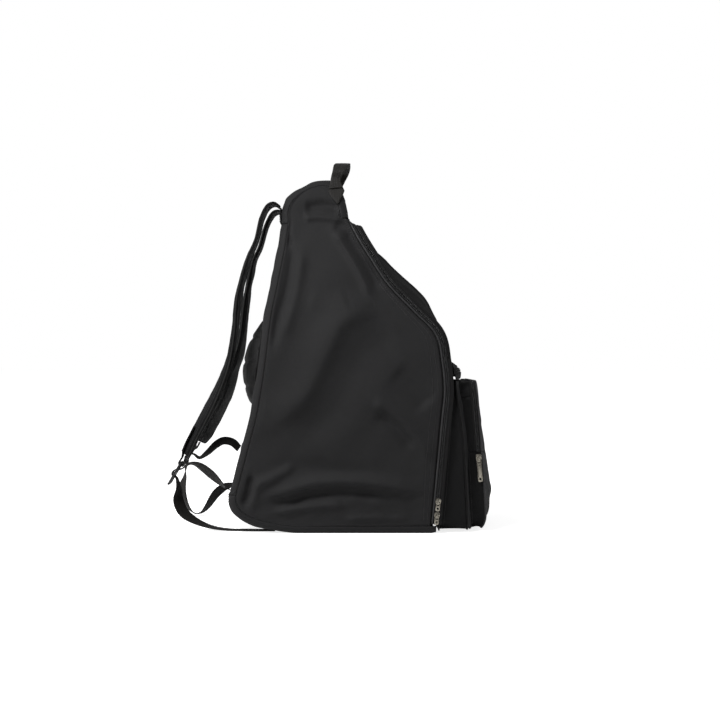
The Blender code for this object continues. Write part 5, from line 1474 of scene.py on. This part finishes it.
lumbar = inflated("lumbar_cushion", "lumbar_pad", 0.0042, 0.0012, 3.0, 0.0035)
co = points_of(lumbar.data)
off = co[:, 1] - back_y(co[:, 2])
raised = np.clip((off - 0.004) / 0.006, 0, 1)
groove = np.zeros(len(co))
for at in (-0.044, 0.0, 0.044):
    groove += np.exp(-(((co[:, 0] - at) / 0.0030) ** 2))
for at in (0.205, 0.240, 0.275):
    groove += 0.8 * np.exp(-(((co[:, 2] - at) / 0.0030) ** 2))
co[:, 1] -= np.minimum(groove, 1.2) * 0.0026 * raised
co[:, 1] = np.maximum(co[:, 1], back_y(co[:, 2]) - 0.0008)
set_points(lumbar.data, co)
lumbar.data.materials.clear()
for finish in (MESH, SHELL):
    lumbar.data.materials.append(finish)
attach(lumbar, "bag")
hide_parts("lumbar_pad")
skin = surface_of(lumbar.data)
for at in (-0.044, 0.0, 0.044):
    line = [(at, 0.20, z) for z in np.linspace(0.186, 0.296, 40)]
    sew("bag", laid_on(skin, line, (0, -1, 0), 0.1), (0, 1, 0))
for at in (0.205, 0.240, 0.275):
    line = [(x, 0.20, at) for x in np.linspace(-0.078, 0.078, 60)]
    sew("bag", laid_on(skin, line, (0, -1, 0), 0.1), (0, 1, 0))
rim = [(0.0, 0.1728), (0.030, 0.1730), (0.052, 0.1745), (0.066, 0.1800), (0.0765, 0.1920), (0.0840, 0.215),
       (0.0862, 0.240), (0.0840, 0.265), (0.0755, 0.288), (0.065, 0.2995), (0.051, 0.3040), (0.030, 0.3052),
       (0.0, 0.3054)]
rim = smooth_run(rim + [(-x, z) for x, z in rim[-2::-1]], 8)
piping("lumbar_binding", np.stack([rim[:, 0], back_y(rim[:, 1]) + 0.0018, rim[:, 1]], 1), 0.0020, "bag",
       finish=BINDING)
print("lumbar cushion:", len(lumbar.data.polygons), "faces, stands",
      round(float((co[:, 1] - back_y(co[:, 2])).max() * 1000), 1), "mm off the back")

# %% [markdown]
# ## Shoulder straps
# Each strap leaves the back on a stitched anchor, curves over the shoulder and ends in a webbing loop
# that holds the ladder lock. Its outer face is the bag's own nylon, the face towards the wearer is spacer
# mesh, a binding closes the edges, and a line of stitches runs inside the binding.

# %% Strap paths
STRAPS = {"left": [(0.1010, 0.4655), (0.1100, 0.4705), (0.1200, 0.4650), (0.1285, 0.4470), (0.1350, 0.4180),
                   (0.1485, 0.3830), (0.1612, 0.3320), (0.1662, 0.2800), (0.1762, 0.2330),
                   (0.1965, 0.1850), (0.2240, 0.1330), (0.2366, 0.1062)],
          "right": [(0.1010, 0.4655), (0.1100, 0.4705), (0.1200, 0.4655), (0.1295, 0.4470), (0.1380, 0.4180),
                    (0.1500, 0.3900), (0.1612, 0.3350), (0.1685, 0.2720), (0.1800, 0.2330),
                    (0.1965, 0.1830), (0.2225, 0.1340), (0.2360, 0.1160)]}
STRAP_WIDTH = 0.058
STRAP_TURN = math.radians(24)


def strap_line(side):
    """The middle line, width, outward direction and direction across of a shoulder strap."""
    sign = LOCKS[side][0]
    run = smooth_run(STRAPS[side], 12)
    q = np.arange(len(run)) / 4
    t = q / q[-1]
    path = np.stack([sign * (0.055 + (LOCK_X - 0.055) * (3 * t**2 - 2 * t**3)), run[:, 0], run[:, 1]], 1)
    width = STRAP_WIDTH * (0.72 + 0.28 * np.minimum(1, q / 6)) * (1 - 0.42 * np.maximum(0, (t - 0.82) / 0.18))
    flat = np.cross(tangents_of(path), (1.0, 0, 0))
    flat /= np.linalg.norm(flat, axis=1, keepdims=True)
    turn = (sign * STRAP_TURN * np.maximum(0, (t - 0.5) / 0.5) ** 1.5)[:, None]
    across = np.array([1.0, 0, 0]) * np.cos(turn) + flat * np.sin(turn)
    up = np.cross(tangents_of(path), across)
    up *= np.sign(up[len(up) // 2, 1])
    return path, width, up, across


def shoulder_strap(side):
    name = "shoulder_strap_" + side
    body = "strap_" + side
    path, width, up, across = strap_line(side)
    pad = inflated(name, "strap_pad_" + side, 0.0025, 0.0005, 2.2, 0.0009)
    co = points_of(pad.data)
    near = np.array([int(np.argmin(((path - p) ** 2).sum(axis=1))) for p in co])
    beside = ((co - path[near]) * across[near]).sum(axis=1)
    above = ((co - path[near]) * up[near]).sum(axis=1)
    hem = np.exp(-(((np.abs(beside) - (width[near] / 2 - 0.0065)) / 0.0016) ** 2))
    along = np.concatenate([[0], np.cumsum(np.linalg.norm(np.diff(path, axis=0), axis=1))])[near]
    slack = 0.0006 * np.sin(along / 0.0105 + np.sin(along / 0.021) * 1.5 + beside * 30) * (above < 0)
    slack = slack + 0.0004 * ripple(along, beside, 0.016, 2.0)
    co = co + up[near] * (np.sign(above) * -0.0011 * hem + slack * (1 - hem))[:, None]
    set_points(pad.data, co)
    pad.data.materials.clear()
    # The strap's outer face takes the darker nylon: painted shade.
    pad.data.materials.append(NYLON_IN_PAINTED_SHADE)
    pad.data.materials.append(MESH)
    for face in pad.data.polygons:
        k = near[face.vertices[0]]
        face.material_index = int(float(np.dot(face.normal, up[k])) < -0.25)
    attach(pad, body)
    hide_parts("strap_pad_" + side)
    skin = surface_of(pad.data)
    keep = slice(4, len(path) - 2)
    for edge in (-1, 1):
        rim = path + across * (edge * (width / 2 - 0.0006))[:, None]
        piping(name + "_binding_" + "ab"[edge > 0], rim[1:-1], 0.0016, body, finish=BINDING)
        line = path + across * (edge * (width / 2 - 0.0065))[:, None]
        for face in (1, -1):
            sew(body, laid_on(skin, line[keep], -up[keep] * face, 0.02), up[keep] * face)
    return path, width, up, skin


def box_of_stitches(body, corner, u, v, normal):
    """Stitches round a rectangle and across its diagonals. u and v are its sides."""
    corner, u, v = np.array(corner, float), np.array(u, float), np.array(v, float)
    for run in ([(0, 0), (1, 0), (1, 1), (0, 1), (0, 0)], [(0, 0), (1, 1)], [(1, 0), (0, 1)]):
        line = np.vstack([resampled([corner + u * a[0] + v * a[1], corner + u * b[0] + v * b[1]], 8)
                          for a, b in zip(run, run[1:])])
        sew(body, line, normal, 0.0004)


for side in ("left", "right"):
    path, width, up, skin = shoulder_strap(side)
    sign, _, down, out, top_bar = lock_frame(side)
    end = path[-1]
    way = (path[-1] - path[-2]) / np.linalg.norm(path[-1] - path[-2])
    start = end + way * 0.0006
    e = (top_bar - start) / np.linalg.norm(top_bar - start)
    m = np.cross((1, 0, 0), e)
    m = m if m @ up[-1] > 0 else -m
    over = laid_on(skin, path[-16:-1:3], -up[-16:-1:3], 0.02) + up[-16:-1:3] * 0.0011
    bar = [top_bar + e * 0.0034 * math.cos(math.radians(d)) + m * 0.0034 * math.sin(math.radians(d))
           for d in (100, 60, 20, -20, -60, -100)]
    short_of_bar = top_bar - e * 0.008
    loop = [*over, start + m * 0.0034, short_of_bar + m * 0.0026, *bar, short_of_bar - m * 0.0022,
            start - m * 0.0012]
    webbing_strip("strap_loop_" + side, smooth_run([tuple(p) for p in loop], 4), WEBBING, 0.0014, (1, 0, 0),
                  "strap_" + side, ["strap_end_" + side], STRAP_TAPE)
    a, b = over[0], over[-1]
    corner = a - np.array([0.0078, 0, 0]) + up[-16] * 0.0007
    box_of_stitches("strap_" + side, corner, b - a, (0.0156, 0, 0), up[-9])
    heights = np.linspace(0.441, 0.4635, 10)
    tab = np.stack([np.full(10, sign * 0.055), back_y(heights) + 0.0014, heights], 1)
    webbing_strip("strap_anchor_patch_" + side, tab, 0.046, 0.0018, (1, 0, 0), "bag",
                  ["strap_anchor_" + side], SHELL, crown=0.0002)
    box_of_stitches("bag", (sign * 0.055 - 0.020, back_y(0.444) + 0.0026, 0.4440), (0.040, 0, 0),
                    (0, back_y(0.460) - back_y(0.444), 0.016), (0, 1, 0))
    low, high = (0.0400, 0.0545) if side == "left" else (0.0320, 0.0445)
    heights = np.linspace(low, high, 8)
    tab = np.stack([np.full(8, sign * 0.112), back_y(heights) + 0.0014, heights], 1)
    webbing_strip("corner_patch_" + side, tab, 0.026, 0.0012, (1, 0, 0), "bag", ["corner_tab_" + side],
                  STRAP_TAPE)
    box_of_stitches("bag", (sign * 0.112 - 0.010, back_y(low + 0.002) + 0.0021, low + 0.002), (0.020, 0, 0),
                    (0, back_y(high - 0.002) - back_y(low + 0.002), high - low - 0.004), (0, 1, 0))
    print(side, "strap", round(length_of(path), 3), "m along its middle")

# %% [markdown]
# ## Grab handle
# A doubled webbing stands over the cap and is sewn flat to each side. Held between two fingers it folds
# forwards, as it does at rest. Its four rows of stitching run its whole length.

# %% Handle and its ends
half = [(0.0010, 0.0198, 0.4925), (0.0012, 0.0207, 0.5010), (0.0040, 0.0200, 0.5090),
        (0.0025, 0.0165, 0.5190), (-0.0080, 0.0130, 0.5275), (-0.0300, 0.0108, 0.5325)]
half = [(-float(half_width(z if k < 3 else HEIGHT)) - 0.0022 - x, y, z) for k, (x, y, z) in enumerate(half)]
half = smooth_run(half, 8)
bridge = smooth_run([tuple(half[-2]), tuple(half[-1]), (-0.020, 0.0106, 0.5334), (0.0, 0.0105, 0.5335)], 6)
bridge = bridge[7:-1]
half = np.vstack([half, bridge])
flip = np.array([-1.0, 1, 1])
handle_path = np.vstack([half, [[0, 0.0105, 0.5335]], half[::-1] * flip])
spread = [0.020, 0.017, 0.015, 0.014, 0.014, 0.015, 0.017, 0.019, 0.021, 0.022, 0.022]
spread = np.interp(np.minimum(np.arange(len(half)) / 4, 10), np.arange(11), spread)
handle_width = np.concatenate([spread, [0.022], spread[::-1]])
webbing_strip("grab_handle", handle_path, handle_width, 0.0030, (0, 1, 0), "handle", ["handle_loop"],
              HANDLE_TAPE, columns=11, crown=0.0005)
rows, up = strip_rows(handle_path, handle_width, (0, 1, 0), 0.0005, 11)
up = up * np.sign(up[len(up) // 2, 2])
for column in (1, 4, 6, 9):
    sew("handle", rows[2:-2, column] + up[2:-2] * 0.0014, up[2:-2], 0.0002)
for side, sign in (("left", -1), ("right", 1)):
    heights = np.array([0.4690, 0.4740, 0.4790, 0.4840, 0.4885, 0.4925, 0.4965, 0.5000])
    front = np.interp(heights, (0.470, 0.478, 0.488, 0.4905, 0.500), (0.0160, 0.0120, 0.0072, 0.0085, 0.0120))
    rear = np.interp(heights, (0.470, 0.478, 0.488, 0.4905, 0.500), (0.0185, 0.0250, 0.0312, 0.0300, 0.0280))
    tab = np.stack([sign * (half_width(heights) + 0.0018), (front + rear) / 2, heights], 1)
    webbing_strip("handle_end_" + side, tab, rear - front, 0.0020, (0, 1, 0), "bag",
                  ["handle_anchor_" + side], HANDLE_TAPE, crown=0.0002)
print("handle", round(length_of(handle_path), 3), "m of doubled webbing")

# %% [markdown]
# ## Hardware
# The ladder locks are moulded acetal and the zip sliders are plated zinc castings. Neither has a sharp
# edge, so a joined-up copy of each CAD piece gets a fine bevel. The two boards inside the back and base
# are never seen until the front is folded down, and they keep their CAD meshes.

# %% Ladder locks, sliders, pulls and boards
def hard_piece(name, node, finish, body, bevel):
    mesh = joined_copy(name, node, flatten=True)
    piece = place_piece(name, mesh, [finish], body, [node])
    soft = piece.modifiers.new("soft edges", "BEVEL")
    soft.width = bevel
    soft.segments = 3
    soft.limit_method = "ANGLE"
    soft.angle_limit = math.radians(32)
    soft.harden_normals = False
    finished_mesh(piece)
    piece.data.shade_smooth()
    piece.data.set_sharp_from_angle(angle=math.radians(48))
    return piece


for side in ("left", "right"):
    lock = "ladder_lock_" + side
    hard_piece("ladder_lock_body_" + side, lock, ACETAL, lock, 0.0006)
for zipper in ("main_upper", "main_lower", "small_pocket", "large_pocket"):
    for part in ("slider", "pull"):
        label = zipper + "_" + part
        # The sliders and pulls take the darkened nickel: painted dark reflection.
        hard_piece(label + "_cast", label, NICKEL_WITH_PAINTED_DARK_REFLECTION, label, 0.00022)
for node in ("back_board", "base_board"):
    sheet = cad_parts[node].data
    sheet.materials.clear()
    sheet.materials.append(BOARD)
print("hardware: 2 ladder locks, 4 sliders with pulls")

# %% [markdown]
# ## Sewing it up
# Every seam has left its line of stitches in a list, sorted by the body that it moves with. Now each list
# is run through the bead tree once, so a fold-down panel carries its own stitches with it.

# %% All stitches
def edge_stitches(rows_of_edge, sign):
    """Two rows of stitches just behind the zip piping on a side panel."""
    for column, ends in ((-4, 3), (-7, 3)):
        sew_row("bag", rows_of_edge, (slice(None), column), (sign, 0, 0), ends)


for side, sign in (("left", -1), ("right", 1)):
    edge_stitches(side_rows[side], sign)
for body, lines in SEWN_HERE.items():
    made = row_of("stitches_" + body, lines, body, THREAD, 0.0034, (0.0025, 0.0007, 0.0005))
    print(body, "stitches:", len(lines), "lines,", len(made.data.polygons), "faces")
